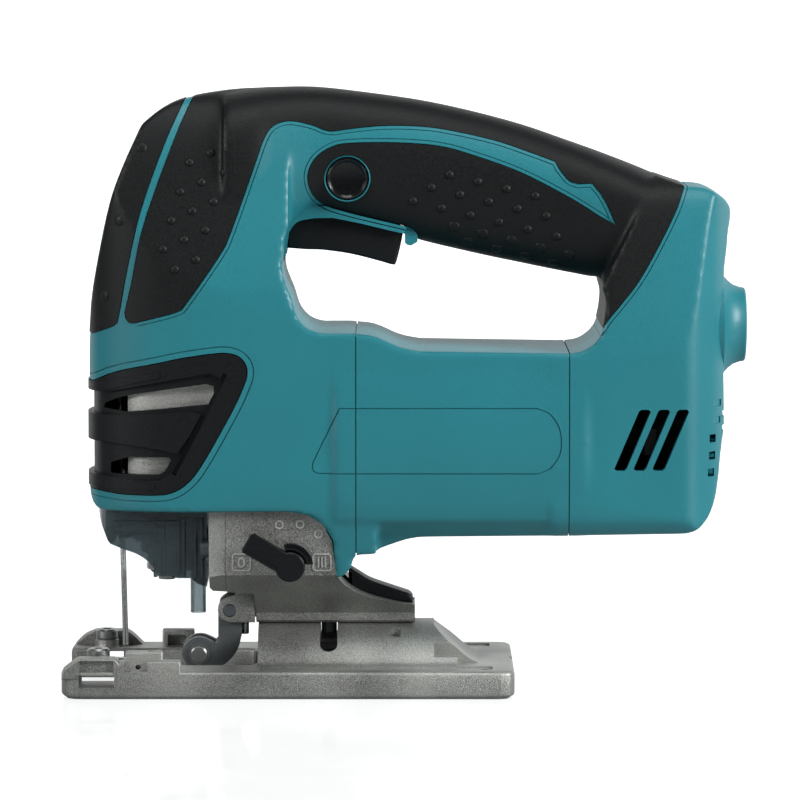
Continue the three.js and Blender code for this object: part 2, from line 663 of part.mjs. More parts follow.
function addOrbitLever() {
  const [x, z] = LEVER_AT;
  const hub = bar("y", 5, -35, -26.4, LEVER_AT);
  const arm = prism("y", moved(roundedRectangle(18, 7.6, 2), -8.5, 0), -34.6, -31.2, 0.6)
    .rotate([0, 30, 0]).translate([x, 0, z]);
  const ridge = tube("y", 6.6, 8.6, -34.2, -31, LEVER_AT)
    .intersect(box([x - 3, x + 12], [-40, 0], [z + 1, z + 12]));
  const web = bar("y", 8, -31.8, -28, LEVER_AT);
  add("orbit_lever", joined(hub, arm, ridge, web), PLASTIC_BLACK);
  const shaft = bar("y", 3, -26.1, 7, LEVER_AT);
  const flat = box([x - 4, x + 4], [-7, 7.5], [z + 1, z + 5]);
  add("orbit_cam_shaft", cut(shaft, flat), STEEL);
}

function addRollerArm() {
  const [px, pz] = ARM_PIVOT;
  const [rx, rz] = ROLLER_AT;
  const plate = outline(
    [px - 4, pz + 1], [px - 3, pz + 3.6], [px, pz + 4.2], [px + 3.2, pz + 3], [px + 4.2, pz],
    [[-57, 19], [-58.5, 12], [-64, 7], [rx, rz - 5.9]],
    [rx - 4, rz - 4.3], [rx - 5.9, rz], [rx - 4, rz + 4.3], [rx, rz + 5.9],
    [[-67, 15.5], [-65, 18.5], [-65.2, 24]],
  );
  const cheeks = bothSides(prism("y", plate, 3.4, 6.2));
  const bridge = box([-63.5, -58], [-4, 4], [16.5, 21]);
  const holes = [
    bar("y", 2.3, -20, 20, ARM_PIVOT),
    bar("y", 1.9, -20, 20, ROLLER_AT),
  ];
  add("roller_arm", cut(joined(cheeks, bridge), ...holes), DARK_STEEL);
  add("arm_pivot_pin", bar("y", 2, -8.6, 8.6, ARM_PIVOT), STEEL);
  add("roller_pin", bar("y", 1.6, -6.9, 6.9, ROLLER_AT), STEEL);
  const tread = [[2, -3], [5.2, -3], [5.2, -1.2], [4, -0.7], [4, 0.7], [5.2, 1.2], [5.2, 3], [2, 3]];
  add("blade_roller", turned("y", tread, ROLLER_AT), STEEL);
}

/** The fork under the gear case that carries the roller arm, with its push rod guide. */
function addArmBracket() {
  const [px, pz] = ARM_PIVOT;
  const ear = joined(
    bar("y", 4.2, 6.6, 8.4, ARM_PIVOT),
    box([px - 4.2, px + 3], [6.6, 8.4], [pz, 33]),
    box([px, -52.2], [6.6, 8.4], [pz - 4.2, 33]),
  );
  const ears = bothSides(ear);
  const roof = box([px - 4.2, -52.2], [-8.4, 8.4], [32.2, 34]);
  const cuts = [bar("y", 2.3, -20, 20, ARM_PIVOT), box([-58.2, -53.6], [-2, 2], [30, 36])];
  add("roller_arm_bracket", cut(joined(ears, roof), ...cuts), CAST);
  add("orbit_push_rod", bar("z", 1.4, 21.6, 40, [-55.9, 0], 16), STEEL);
}

// ---------------------------------------------------------------- nose: cover, wire and duct

function addDustCover() {
  const side = outline(
    [-106.6, 60.6], [-102.2, 49.5], [-99.4, 48.3], [-93.3, 46.2], [-89, 42.9], [-86.4, 39.2],
    [-86.3, 37], [-76, 37], [-76, 60.6],
  );
  const plan = (grow) => mirroredInX([
    [-76, 19 - grow], [-95, 18.5 - grow], [[-101, 15.5 - grow], [-105.5 + grow, 8], [-107 + grow, 0]],
  ]);
  const outer = prism("y", side, -40, 40).intersect(prism("z", plan(0), 0, FAR));
  const inner = prism("z", plan(1.8), 0, FAR)
    .intersect(prism("y", outline([-104.4, 70], [-99.6, 40], [-86, 30], [-70, 30], [-70, 70]), -40, 40))
    .add(box([-80, -70], [-17.2, 17.2], [30, 70]));
  add("dust_cover", cut(outer, inner), SMOKED);
}

function addGuardWire() {
  const corners = [[-97.5, -4, 60], [-98.6, -1.2, 50], [-98.2, 0, 40], [-97.5, 0, 13.6]];
  const curve = new THREE.CatmullRomCurve3(corners.map((c) => new THREE.Vector3(...c)));
  const section = new THREE.Shape(new THREE.EllipseCurve(0, 0, 1, 1).getPoints(8).slice(0, 8));
  const wire = new THREE.ExtrudeGeometry(section, { steps: 10, extrudePath: curve, bevelEnabled: false });
  add("finger_guard_wire", solid(wire), STEEL);
}

function addDuct() {
  add("blower_tube", tube("z", 1.9, 2.7, 25.2, 62, [-72.2, 0], 20), PLASTIC_BLACK);
  const cover = outline([-19.7, 41.7], [-11.9, 36.8], [1.3, 32.2], [2.7, 30.5], [2.7, 29.2], [-19.7, 29.2]);
  add("dust_duct", prism("y", cover, -5.8, 5.8), PLASTIC_BLACK);
}

// ---------------------------------------------------------------- base

/** The base plate's plan, with its front blade notch. */
function basePlan(notchHalfWidth, notchEndX) {
  const corner = 5;
  return outline(
    [BASE_FRONT_X, notchHalfWidth], [BASE_FRONT_X, BASE_HALF_WIDTH - corner],
    [BASE_FRONT_X + corner, BASE_HALF_WIDTH], [BASE_REAR_X - corner, BASE_HALF_WIDTH],
    [BASE_REAR_X, BASE_HALF_WIDTH - corner], [BASE_REAR_X, -BASE_HALF_WIDTH + corner],
    [BASE_REAR_X - corner, -BASE_HALF_WIDTH], [BASE_FRONT_X + corner, -BASE_HALF_WIDTH],
    [BASE_FRONT_X, -BASE_HALF_WIDTH + corner], [BASE_FRONT_X, -notchHalfWidth],
    [notchEndX, -notchHalfWidth], [notchEndX, notchHalfWidth],
  );
}

function addBase() {
  const half = BASE_HALF_WIDTH;
  const plate = prism("z", basePlan(20.5, -52.5), SOLE_THICKNESS + GAP, RIM_Z);
  const arch = tube("x", ARCH_INNER_RADIUS, ARCH_RADIUS, ...ARCH_X, [0, 0], 64)
    .intersect(box(ARCH_X, [-half, half], [SOLE_THICKNESS + GAP, 40]));
  const heel = prism("y", outline([ARCH_X[1] - 4, RIM_Z - 2], [25, RIM_Z - 2], [17.5, 14.5], [10, 22]), -14, 14)
    .intersect(bar("x", ARCH_RADIUS, -FAR, FAR, [0, 0], 64));
  const lugs = joined(
    box([-117, -99.4], [-half, -half + 8.4], [RIM_Z - 1, 13.6]),
    box([-97, -76.8], [-half + 2, -half + 8], [RIM_Z - 1, 13]),
    box([-111.9, -96.9], [half - 8.4, half], [RIM_Z - 1, 12.4]),
    box([-96, -83.1], [-32, -27], [RIM_Z - 1, 15.6]),
    box([-86.1, -74.8], [27, 32], [RIM_Z - 1, 15]),
  );
  const hollow = joined(
    bar("x", ARCH_INNER_RADIUS, ARCH_X[0] - 4, ARCH_X[1], [0, 0], 64),
    box([-111.7, -99.5], [-60, 60], [4, 8.5]),
    prism("x", arcBand(14, 30, 54.5), -30, -23),
    ...[-FENCE_SCREW_Y, FENCE_SCREW_Y].map((y) => bar("z", 2.2, 8, 20, [FENCE_SCREW_X, y])),
  );
  add("base_shoe", cut(joined(plate, arch, heel, lugs), hollow), CAST);
  const sole = prism("z", basePlan(13, -55), 0, SOLE_THICKNESS);
  add("sole_plate", cut(sole, box([-44, 6], [-13, 13], [-1, 4])), STEEL);
}

/** A band of a ring about the tilt axis, to each side of the top by an angle in degrees. */
function arcBand(inner, outer, degrees) {
  const steps = 12;
  const points = [];
  for (let i = 0; i <= steps; i += 1) {
    const angle = THREE.MathUtils.degToRad(90 - degrees + (2 * degrees * i) / steps);
    points.push(v2([outer * Math.cos(angle), outer * Math.sin(angle)]));
  }
  const back = points.map((p) => p.clone().multiplyScalar(inner / outer)).reverse();
  return [...points, ...back];
}

function addBaseClamp() {
  const at = [CLAMP_X, 0];
  const plate = prism("x", arcBand(15.5, ARCH_INNER_RADIUS - GAP, 30), CLAMP_X - 11.5, CLAMP_X + 11.5);
  add("base_clamp_plate", cut(plate, bar("z", 3, 0, 40, at)), STEEL);
  const bolt = [[0, 8.4], [5, 8.4], [5, 14.2], [2.7, 14.2], [2.7, 28], [0, 28]];
  add("base_clamp_bolt", cut(turned("z", bolt, at), bar("z", 2.5, 8, 12, at, 6)), DARK_STEEL);
  const nut = box([CLAMP_X - 3, CLAMP_X + 3], [-5, 5], [24.6, 28]);
  add("base_clamp_nut", cut(nut, bar("z", 2.9, 20, 30, at)), STEEL);
}

/** Screws that pinch the bar of a parallel fence in the cross slot of the base. */
function addFenceScrews() {
  const screw = [[0, 8.8], [1.8, 8.8], [1.8, RIM_Z + GAP], [3.9, RIM_Z + GAP], [3.9, 16], [0, 16]];
  for (const [side, sign] of [["left", -1], ["right", 1]]) {
    const at = [FENCE_SCREW_X, sign * FENCE_SCREW_Y];
    add(`fence_screw_${side}`, cut(turned("z", screw, at), bar("z", 1.8, 13.5, 20, at, 6)), STEEL);
  }
}

// ---------------------------------------------------------------- assembly

addHousing();
addMotorHousing();
addNoseGuard();
addCordBushing();
addTrigger();
addLockButton();
addSpeedDial();
addSwitch();
addMotor();
addGearTrain();
addPlunger();
addCounterweight();
addGearCase();
addGearCaseCover();
addOrbitLever();
addRollerArm();
addArmBracket();
addDustCover();
addGuardWire();
addDuct();
addBase();
addBaseClamp();
addFenceScrews();

export default group;
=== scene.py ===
"""Orbital jigsaw with a D-handle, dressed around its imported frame. Sizes are in millimetres."""
import json
import logging
import math
from dataclasses import dataclass
from enum import Enum
from typing import Iterable, Sequence, Union

import bmesh
import bpy
from mathutils import Matrix, Vector
from mathutils.bvhtree import BVHTree

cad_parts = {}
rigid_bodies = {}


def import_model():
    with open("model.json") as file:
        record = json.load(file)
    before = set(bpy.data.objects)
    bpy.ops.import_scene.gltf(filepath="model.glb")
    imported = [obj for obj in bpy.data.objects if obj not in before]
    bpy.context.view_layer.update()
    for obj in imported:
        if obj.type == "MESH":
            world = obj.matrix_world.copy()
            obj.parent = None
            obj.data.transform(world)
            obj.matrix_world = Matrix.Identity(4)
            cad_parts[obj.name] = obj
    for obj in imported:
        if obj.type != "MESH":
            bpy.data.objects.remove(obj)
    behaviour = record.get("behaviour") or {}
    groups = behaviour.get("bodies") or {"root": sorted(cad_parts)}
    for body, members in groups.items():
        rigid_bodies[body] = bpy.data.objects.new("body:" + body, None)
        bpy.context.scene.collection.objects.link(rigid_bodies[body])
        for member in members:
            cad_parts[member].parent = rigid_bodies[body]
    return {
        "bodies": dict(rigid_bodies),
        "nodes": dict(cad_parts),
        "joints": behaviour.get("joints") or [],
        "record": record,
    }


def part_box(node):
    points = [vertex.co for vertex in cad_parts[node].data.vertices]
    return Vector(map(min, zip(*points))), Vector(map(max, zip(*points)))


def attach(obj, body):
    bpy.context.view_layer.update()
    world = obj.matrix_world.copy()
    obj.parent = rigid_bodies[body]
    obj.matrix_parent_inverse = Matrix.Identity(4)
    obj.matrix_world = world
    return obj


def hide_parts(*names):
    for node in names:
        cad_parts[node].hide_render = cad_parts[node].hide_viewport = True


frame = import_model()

log = logging.getLogger("jigsaw")
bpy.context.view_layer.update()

MM = 0.001
FAR = 300.0
Point = tuple[float, float]
Run = Union[Point, list[Point]]


class Axis(Enum):
    """The direction along which an outline is pushed or about which a profile is turned."""

    X = Matrix(((0, 0, 1), (1, 0, 0), (0, 1, 0)))
    Y = Matrix(((1, 0, 0), (0, 0, -1), (0, 1, 0)))
    Z = Matrix.Identity(3)


# ---------------------------------------------------------------- outlines


def curve(knots: Sequence[Point], steps: int = 6) -> list[Vector]:
    """A smooth run of points through a few knots.

    Args:
        knots: points that the curve passes through.
        steps: points for each stretch between knots.

    Returns:
        The points of a Catmull-Rom curve, both ends included.
    """
    ends = [2 * Vector(knots[0]) - Vector(knots[1]), 2 * Vector(knots[-1]) - Vector(knots[-2])]
    line = [ends[0], *map(Vector, knots), ends[1]]
    points = []
    for a, b, c, d in zip(line, line[1:], line[2:], line[3:]):
        for step in range(steps):
            t = step / steps
            points.append(0.5 * ((2 * b) + (c - a) * t + (2 * a - 5 * b + 4 * c - d) * t * t
                                 + (3 * b - a - 3 * c + d) * t ** 3))
    return [*points, line[-2]]


def outline(*parts: Run, steps: int = 6) -> list[Vector]:
    """A closed outline from single points and lists of knots, which become curves.

    Args:
        parts: points and lists of knots in order.
        steps: points for each stretch between knots.

    Returns:
        The outline's points, anticlockwise and without repeats.
    """
    points: list[Vector] = []
    for part in parts:
        points += curve(part, steps) if isinstance(part, list) else [Vector(part)]
    clean = [p for i, p in enumerate(points) if (p - points[i - 1]).length > 0.02]
    area = sum(a.x * b.y - b.x * a.y for a, b in zip(clean, clean[1:] + clean[:1]))
    return clean if area > 0 else clean[::-1]


def mirrored(*half: Run, steps: int = 6) -> list[Vector]:
    """A closed outline from the half with a positive second number.

    Args:
        half: points and lists of knots from one end of the mirror line to the other.
        steps: points for each stretch between knots.

    Returns:
        The whole outline's points.
    """
    points: list[Vector] = []
    for part in half:
        points += curve(part, steps) if isinstance(part, list) else [Vector(part)]
    return outline(*[tuple(p) for p in points], *[(p.x, -p.y) for p in reversed(points)])


def swapped(points: Iterable[Vector]) -> list[Vector]:
    """The outline with its two axes exchanged."""
    return outline(*[(p.y, p.x) for p in points])


def grown(points: list[Vector], distance: float) -> list[Vector]:
    """An anticlockwise outline moved outwards by a distance, or inwards by a negative one.

    Args:
        points: the outline.
        distance: how far each edge moves.

    Returns:
        The moved outline.
    """
    moved = []
    for i, point in enumerate(points):
        before = (point - points[i - 1]).normalized()
        after = (points[(i + 1) % len(points)] - point).normalized()
        a, b = Vector((before.y, -before.x)), Vector((after.y, -after.x))
        moved.append(point + (a + b) * distance / max(0.6, 1 + a.dot(b)))
    return moved


def round_corners(width: float, height: float, radius: float, at: Point = (0, 0)) -> list[Vector]:
    """A rectangle with round corners.

    Args:
        width: size along the first axis.
        height: size along the second axis.
        radius: corner radius.
        at: centre.

    Returns:
        The outline's points.
    """
    points = []
    for corner in range(4):
        centre = Vector(((1 if corner in (0, 3) else -1) * (width / 2 - radius) + at[0],
                         (1 if corner < 2 else -1) * (height / 2 - radius) + at[1]))
        for step in range(6):
            angle = (corner + step / 5) * math.pi / 2
            points.append(centre + radius * Vector((math.cos(angle), math.sin(angle))))
    return outline(*[tuple(p) for p in points])


# ---------------------------------------------------------------- forms


class Form:
    """A closed mesh in millimetres that is cut, joined and shaped before it becomes a piece."""

    def __init__(self, mesh: bmesh.types.BMesh) -> None:
        """Takes over a bmesh."""
        self.mesh = mesh

    @classmethod
    def prism(cls, axis: Axis, points: list[Vector], low: float, high: float,
              bevel: float = 0.0, segments: int = 4) -> "Form":
        """An outline pushed along an axis, with round edges at both ends if a bevel is given.

        Args:
            axis: direction of the push.
            points: outline across the axis.
            low: where it starts on the axis.
            high: where it ends on the axis.
            bevel: radius of the end edges.
            segments: steps in the round edges.

        Returns:
            The form.
        """
        mesh = bmesh.new()
        cap = mesh.faces.new([mesh.verts.new((p.x, p.y, 0)) for p in points])
        made = bmesh.ops.extrude_face_region(mesh, geom=[cap])
        top = [v for v in made["geom"] if isinstance(v, bmesh.types.BMVert)]
        bmesh.ops.translate(mesh, verts=top, vec=(0, 0, high - low))
        if bevel:
            rims = [e for e in mesh.edges if e.verts[0].co.z == e.verts[1].co.z]
            bmesh.ops.bevel(mesh, geom=rims, offset=bevel, segments=segments, profile=0.5,
                            affect="EDGES", material=-1)
        start = -high if axis is Axis.Y else low
        bmesh.ops.translate(mesh, verts=mesh.verts, vec=(0, 0, start))
        return cls(mesh)._placed(axis.value.to_4x4())

    @classmethod
    def block(cls, x: Point, y: Point, z: Point, bevel: float = 0.0) -> "Form":
        """A box between two corners, with round edges if a bevel is given.

        Args:
            x: lowest and highest x.
            y: lowest and highest y.
            z: lowest and highest z.
            bevel: rounding of the edges.

        Returns:
            The block.
        """
        size = Vector((x[1] - x[0], y[1] - y[0], z[1] - z[0]))
        middle = Vector((sum(x), sum(y), sum(z))) / 2
        mesh = bmesh.new()
        place = Matrix.Translation(middle) @ Matrix.Diagonal((*size, 1))
        bmesh.ops.create_cube(mesh, size=1, matrix=place)
        if bevel:
            bmesh.ops.bevel(mesh, geom=mesh.edges[:], offset=bevel, segments=3, profile=0.5,
                            affect="EDGES", material=-1)
        return cls(mesh)

    @classmethod
    def turned(cls, axis: Axis, profile: Sequence[Point], at: Point, segments: int = 48) -> "Form":
        """A (radius, length) profile turned about an axis.

        Args:
            axis: the axis of the turning.
            profile: points of the profile; it starts and ends on the axis, or is closed.
            at: where the axis crosses its own plane.
            segments: steps around.

        Returns:
            The form.
        """
        mesh = bmesh.new()
        verts = [mesh.verts.new((radius, 0, length)) for radius, length in profile]
        edges = [mesh.edges.new(pair) for pair in zip(verts, verts[1:])]
        if profile[0][0] > 0:
            edges.append(mesh.edges.new((verts[-1], verts[0])))
        bmesh.ops.spin(mesh, geom=verts + edges, cent=(0, 0, 0), axis=(0, 0, 1),
                       angle=math.tau, steps=segments, use_merge=True)
        bmesh.ops.remove_doubles(mesh, verts=mesh.verts, dist=1e-4)
        bmesh.ops.recalc_face_normals(mesh, faces=mesh.faces)
        turn = {Axis.X: Matrix.Rotation(math.pi / 2, 4, "Y"),
                Axis.Y: Matrix.Rotation(-math.pi / 2, 4, "X"), Axis.Z: Matrix.Identity(4)}[axis]
        shift = {Axis.X: (0, *at), Axis.Y: (at[0], 0, at[1]), Axis.Z: (*at, 0)}[axis]
        return cls(mesh)._placed(Matrix.Translation(shift) @ turn)

    @classmethod
    def rod(cls, axis: Axis, radius: float, low: float, high: float, at: Point,
            bevel: float = 0.0, segments: int = 48) -> "Form":
        """A round bar, with chamfered ends if a bevel is given.

        Args:
            axis: direction of the rod.
            radius: its radius.
            low: where it starts along the axis.
            high: where it ends.
            at: its place across the axis.
            bevel: rounding of both ends.
            segments: number of sides.

        Returns:
            The rod.
        """
        profile = [(0, low), (radius - bevel, low), (radius, low + bevel),
                   (radius, high - bevel), (radius - bevel, high), (0, high)]
        if not bevel:
            profile = [(0, low), (radius, low), (radius, high), (0, high)]
        return cls.turned(axis, profile, at, segments)

    @classmethod
    def tube(cls, axis: Axis, inner: float, outer: float, low: float, high: float, at: Point,
             segments: int = 48) -> "Form":
        """A round tube with square ends."""
        profile = [(inner, low), (outer, low), (outer, high), (inner, high)]
        return cls.turned(axis, profile, at, segments)

    @classmethod
    def loft(cls, rings: Sequence[tuple[Vector, float, float]], corner: float = 2.4) -> "Form":
        """A closed sleeve through upright oval rings that stand across the x axis.

        Args:
            rings: centre, half width and half height of each ring.
            corner: power of the oval; 2 is an ellipse and more is squarer.

        Returns:
            The form.
        """
        mesh = bmesh.new()
        loops = []
        for centre, half_width, half_height in rings:
            made = bmesh.ops.create_circle(mesh, segments=40, radius=1)["verts"]
            for vert in made:
                c, s = vert.co.x, vert.co.y
                y = math.copysign(abs(c) ** (2 / corner), c) * half_width
                z = math.copysign(abs(s) ** (2 / corner), s) * half_height
                vert.co = centre + Vector((0, y, z))
            loops.append(made)
        edges = [e for e in mesh.edges if e.is_boundary or not e.link_faces]
        bmesh.ops.bridge_loops(mesh, edges=edges)
        ends = [loops[0], loops[-1]]
        for ring in ends:
            rim = [e for e in mesh.edges if e.verts[0] in ring and e.verts[1] in ring]
            bmesh.ops.contextual_create(mesh, geom=rim)
        bmesh.ops.recalc_face_normals(mesh, faces=mesh.faces)
        return cls(mesh)

    def _placed(self, matrix: Matrix) -> "Form":
        """Moves the form by a matrix and sets its faces outwards.

        Args:
            matrix: where the form goes.

        Returns:
            The same form, moved.
        """
        bmesh.ops.transform(self.mesh, matrix=matrix, verts=self.mesh.verts)
        bmesh.ops.recalc_face_normals(self.mesh, faces=self.mesh.faces)
        return self

    def copy(self) -> "Form":
        """The same form again."""
        return Form(self.mesh.copy())

    def moved(self, x: float = 0, y: float = 0, z: float = 0) -> "Form":
        """Moves the form."""
        bmesh.ops.translate(self.mesh, verts=self.mesh.verts, vec=(x, y, z))
        return self

    def turned_about(self, axis: str, degrees: float, centre: Sequence[float]) -> "Form":
        """Turns the form about an axis through a point.

        Args:
            axis: name of the axis.
            degrees: angle by the right-hand rule.
            centre: a point on the axis.

        Returns:
            The same form, turned.
        """
        turn = Matrix.Rotation(math.radians(degrees), 3, axis)
        bmesh.ops.rotate(self.mesh, verts=self.mesh.verts, cent=centre, matrix=turn)
        return self

    def other_side(self) -> "Form":
        """A copy mirrored from left to right.

        Returns:
            The mirror image, as a new form.
        """
        twin = self.copy()
        bmesh.ops.scale(twin.mesh, verts=twin.mesh.verts, vec=(1, -1, 1))
        bmesh.ops.reverse_faces(twin.mesh, faces=twin.mesh.faces)
        return twin

    def puffed(self, distance: float) -> "Form":
        """A copy whose surface is moved outwards by a distance.

        Args:
            distance: how far the surface moves outwards, or inwards if negative.

        Returns:
            A new form.
        """
        twin = self.copy()
        twin.mesh.normal_update()
        for vert in twin.mesh.verts:
            vert.co += vert.normal * distance
        return twin

    def with_loose(self, *others: "Form") -> "Form":
        """Adds other forms to this one as they are, without joining their surfaces."""
        for other in others:
            spare = bpy.data.meshes.new("spare")
            other.mesh.to_mesh(spare)
            self.mesh.from_mesh(spare)
            bpy.data.meshes.remove(spare)
        return self

    def _as_object(self) -> bpy.types.Object:
        """A working object that holds the form.

        Returns:
            A temporary object with the form's mesh.
        """
        data = bpy.data.meshes.new("work")
        self.mesh.to_mesh(data)
        thing = bpy.data.objects.new("work", data)
        bpy.context.scene.collection.objects.link(thing)
        return thing

    def _through(self, modifiers: Sequence[tuple[str, dict]]) -> "Form":
        """The form after a stack of modifiers.

        Args:
            modifiers: type and settings of each modifier; a Form among the settings becomes its object.

        Returns:
            A new form.
        """
        work = self._as_object()
        helpers = []
        for kind, settings in modifiers:
            modifier = work.modifiers.new(kind.lower(), kind)
            for key, value in settings.items():
                if isinstance(value, Form):
                    value = value._as_object()
                    helpers.append(value)
                setattr(modifier, key, value)
        ready = work.evaluated_get(bpy.context.evaluated_depsgraph_get())
        data = bpy.data.meshes.new_from_object(ready)
        mesh = bmesh.new()
        mesh.from_mesh(data)
        for thing in [work, *helpers]:
            old = thing.data
            bpy.data.objects.remove(thing)
            bpy.data.meshes.remove(old)
        bpy.data.meshes.remove(data)
        return Form(mesh)

    def _combined(self, operation: str, others: Sequence["Form"]) -> "Form":
        """Joins, cuts or intersects with other forms, one after the other.

        Args:
            operation: name of the boolean operation.
            others: the forms that take part.

        Returns:
            A new form.
        """
        settings = [("BOOLEAN", {"operation": operation, "solver": "MANIFOLD", "object": other})
                    for other in others]
        result = self._through(settings)
        if not result.mesh.faces:
            raise ValueError(f"{operation} left nothing")
        return result

    def cut(self, *others: "Form") -> "Form":
        """The form without the others."""
        return self._combined("DIFFERENCE", others)

    def joined(self, *others: "Form") -> "Form":
        """The form together with the others."""
        return self._combined("UNION", others)

    def common(self, *others: "Form") -> "Form":
        """Only what the form shares with all the others."""
        return self._combined("INTERSECT", others)

    def flowing(self, voxel: float, rounds: int) -> "Form":
        """The form as one even skin of small faces, with its edges rounded off.

        Args:
            voxel: size of the small faces.
            rounds: smoothing steps; more of them give rounder edges.

        Returns:
            A new form.
        """
        return self._through([
            ("REMESH", {"mode": "VOXEL", "voxel_size": voxel}),
            ("SMOOTH", {"factor": 0.5, "iterations": rounds}),
        ])

    def height_at(self, x: float, z: float) -> tuple[Vector, Vector]:
        """Where a ray from the far left meets the surface, with the surface's direction there.

        Args:
            x: place along the tool.
            z: height.

        Returns:
            The spot on the surface and its normal.
        """
        tree = BVHTree.FromBMesh(self.mesh)
        spot, normal, _, _ = tree.ray_cast(Vector((x, -FAR, z)), Vector((0, 1, 0)))
        return spot, normal


# ---------------------------------------------------------------- finishes


def linear(colour: str) -> tuple[float, float, float, float]:
    """Turns an sRGB hex colour to the linear values that shaders use.

    Args:
        colour: six hex digits.

    Returns:
        Red, green, blue and an alpha of one.
    """
    parts = [int(colour[i:i + 2], 16) / 255 for i in (0, 2, 4)]
    return (*[p / 12.92 if p <= 0.04045 else ((p + 0.055) / 1.055) ** 2.4 for p in parts], 1.0)


def add_node(tree: bpy.types.NodeTree, kind: str, inputs: dict | None = None,
             **settings: object) -> bpy.types.Node:
    """Adds one node with its settings and links.

    Args:
        tree: node tree to add to.
        kind: type of node.
        inputs: value or linked output for each input, by name or number.
        settings: the node's own properties.

    Returns:
        The node.
    """
    node = tree.nodes.new(kind)
    for key, value in settings.items():
        setattr(node, key, value)
    for key, value in (inputs or {}).items():
        if isinstance(value, bpy.types.NodeSocket):
            tree.links.new(value, node.inputs[key])
        else:
            node.inputs[key].default_value = value
    return node


def per_metre(size_mm: float) -> float:
    """The texture scale that gives a pattern features of a size in millimetres."""
    return 1.0 / (size_mm * MM)


@dataclass(frozen=True)
class Finish:
    """A real material: its colour between two tones, its gloss and the relief of its surface."""

    name: str
    colour: str
    second: str
    roughness: float
    grain_mm: float
    relief: float
    metallic: float = 0.0
    spread: float = 0.08
    stretch: tuple[float, float, float] = (1.0, 1.0, 1.0)
    contrast: tuple[float, float] = (0.3, 0.7)
    specular: float = 0.5
    coat: float = 0.0
    transmission: float = 0.0
    broad_mm: float = 40.0

    def material(self) -> bpy.types.Material:
        """Builds the material, or gives it back if it was built before.

        Returns:
            A material with two noise patterns: the grain and a broad, faint variation.
        """
        if self.name in bpy.data.materials:
            return bpy.data.materials[self.name]
        material = bpy.data.materials.new(self.name)
        material.use_nodes = True
        tree = material.node_tree
        tree.nodes.clear()
        place = add_node(tree, "ShaderNodeTexCoord").outputs["Object"]
        stretched = add_node(tree, "ShaderNodeMapping", {"Vector": place, "Scale": self.stretch})
        grain = add_node(tree, "ShaderNodeTexNoise", {
            "Vector": stretched.outputs[0], "Scale": per_metre(self.grain_mm), "Detail": 2.0})
        broad = add_node(tree, "ShaderNodeTexNoise", {
            "Vector": place, "Scale": per_metre(self.broad_mm), "Detail": 2.0})
        mixed = add_node(tree, "ShaderNodeMath", {0: grain.outputs[0], 1: broad.outputs[0]},
                         operation="ADD")
        tone = add_node(tree, "ShaderNodeMapRange", {
            "Value": mixed.outputs[0], "From Min": 2 * self.contrast[0],
            "From Max": 2 * self.contrast[1]})
        colour = add_node(tree, "ShaderNodeMix", {
            "Factor": tone.outputs[0], 6: linear(self.colour), 7: linear(self.second)},
            data_type="RGBA")
        gloss = add_node(tree, "ShaderNodeMapRange", {
            "Value": grain.outputs[0], "From Min": 0.3, "From Max": 0.7,
            "To Min": self.roughness - self.spread, "To Max": self.roughness + self.spread})
        bump = add_node(tree, "ShaderNodeBump", {
            "Height": grain.outputs[0], "Strength": self.relief,
            "Distance": self.grain_mm * MM})
        shader = add_node(tree, "ShaderNodeBsdfPrincipled", {
            "Base Color": colour.outputs[2], "Metallic": self.metallic,
            "Roughness": gloss.outputs[0], "Normal": bump.outputs[0],
            "Specular IOR Level": self.specular, "Coat Weight": self.coat,
            "Transmission Weight": self.transmission})
        add_node(tree, "ShaderNodeOutputMaterial", {"Surface": shader.outputs[0]})
        return material


# Injection-moulded ABS, spark-eroded mould: an even satin with a barely visible orange peel.
TEAL_ABS = Finish("moulded_abs_teal", "217681", "24808B", 0.42, 0.55, 0.06)
# Thermoplastic elastomer moulded over the shell: dull, faintly leathery, soft highlights.
SOFT_GRIP = Finish("elastomer_black", "0B0D0E", "101314", 0.5, 0.6, 0.1, specular=0.3)
# Glass-filled nylon: black with a cool cast, satin, slightly uneven.
NYLON = Finish("nylon_black", "0B0E10", "111517", 0.42, 0.6, 0.08, specular=0.3)
# The same nylon from a polished mould: deep black with a clear highlight.
GLOSSY_NYLON = Finish("nylon_polished", "090B0C", "101214", 0.2, 1.2, 0.03, spread=0.04)
# Die-cast aluminium, tumbled: grey with a sparkling grain, coarser here than real to show at all.
CAST = Finish("die_cast_aluminium", "6B6D6A", "CBCCC7", 0.44, 0.34, 0.5, metallic=0.75,
              spread=0.14, contrast=(0.36, 0.66))
# The same casting made lighter and less metallic for its raised marks: a painted highlight on the ridges.
CAST_PAINTED_HIGHLIGHT = Finish("die_cast_aluminium_painted_highlight", "A9AAA6", "D6D6D1", 0.4, 0.42, 0.3, metallic=0.35,
                     spread=0.1, contrast=(0.38, 0.62))
# Machined aluminium or zinc-plated steel sheet: brighter and finer than the castings.
SHEET = Finish("zinc_plated_steel", "8F918F", "B7B9B7", 0.34, 0.5, 0.1, metallic=1.0,
               stretch=(0.08, 1.0, 1.0))
# Ground steel of shafts and pins: bright, fine rings.
GROUND_STEEL = Finish("ground_steel", "A7A9A8", "C9CBCA", 0.24, 0.3, 0.08, metallic=1.0)
# Turned steel of the roller, its pin and the clamp's tip: an even bright sheen.
TURNED = Finish("turned_steel", "8E9091", "9C9E9F", 0.36, 1.5, 0.0, metallic=0.85)
# Phosphated steel of the roller arm: mid grey, cool and dull.
PHOSPHATED = Finish("phosphated_steel", "63686A", "72777A", 0.42, 0.5, 0.12, metallic=0.6)
# Blackened steel of the screws and the clamp: darker, with soft highlights.
BLACKENED = Finish("blackened_steel", "4E5355", "64696B", 0.45, 0.45, 0.2, metallic=0.8)
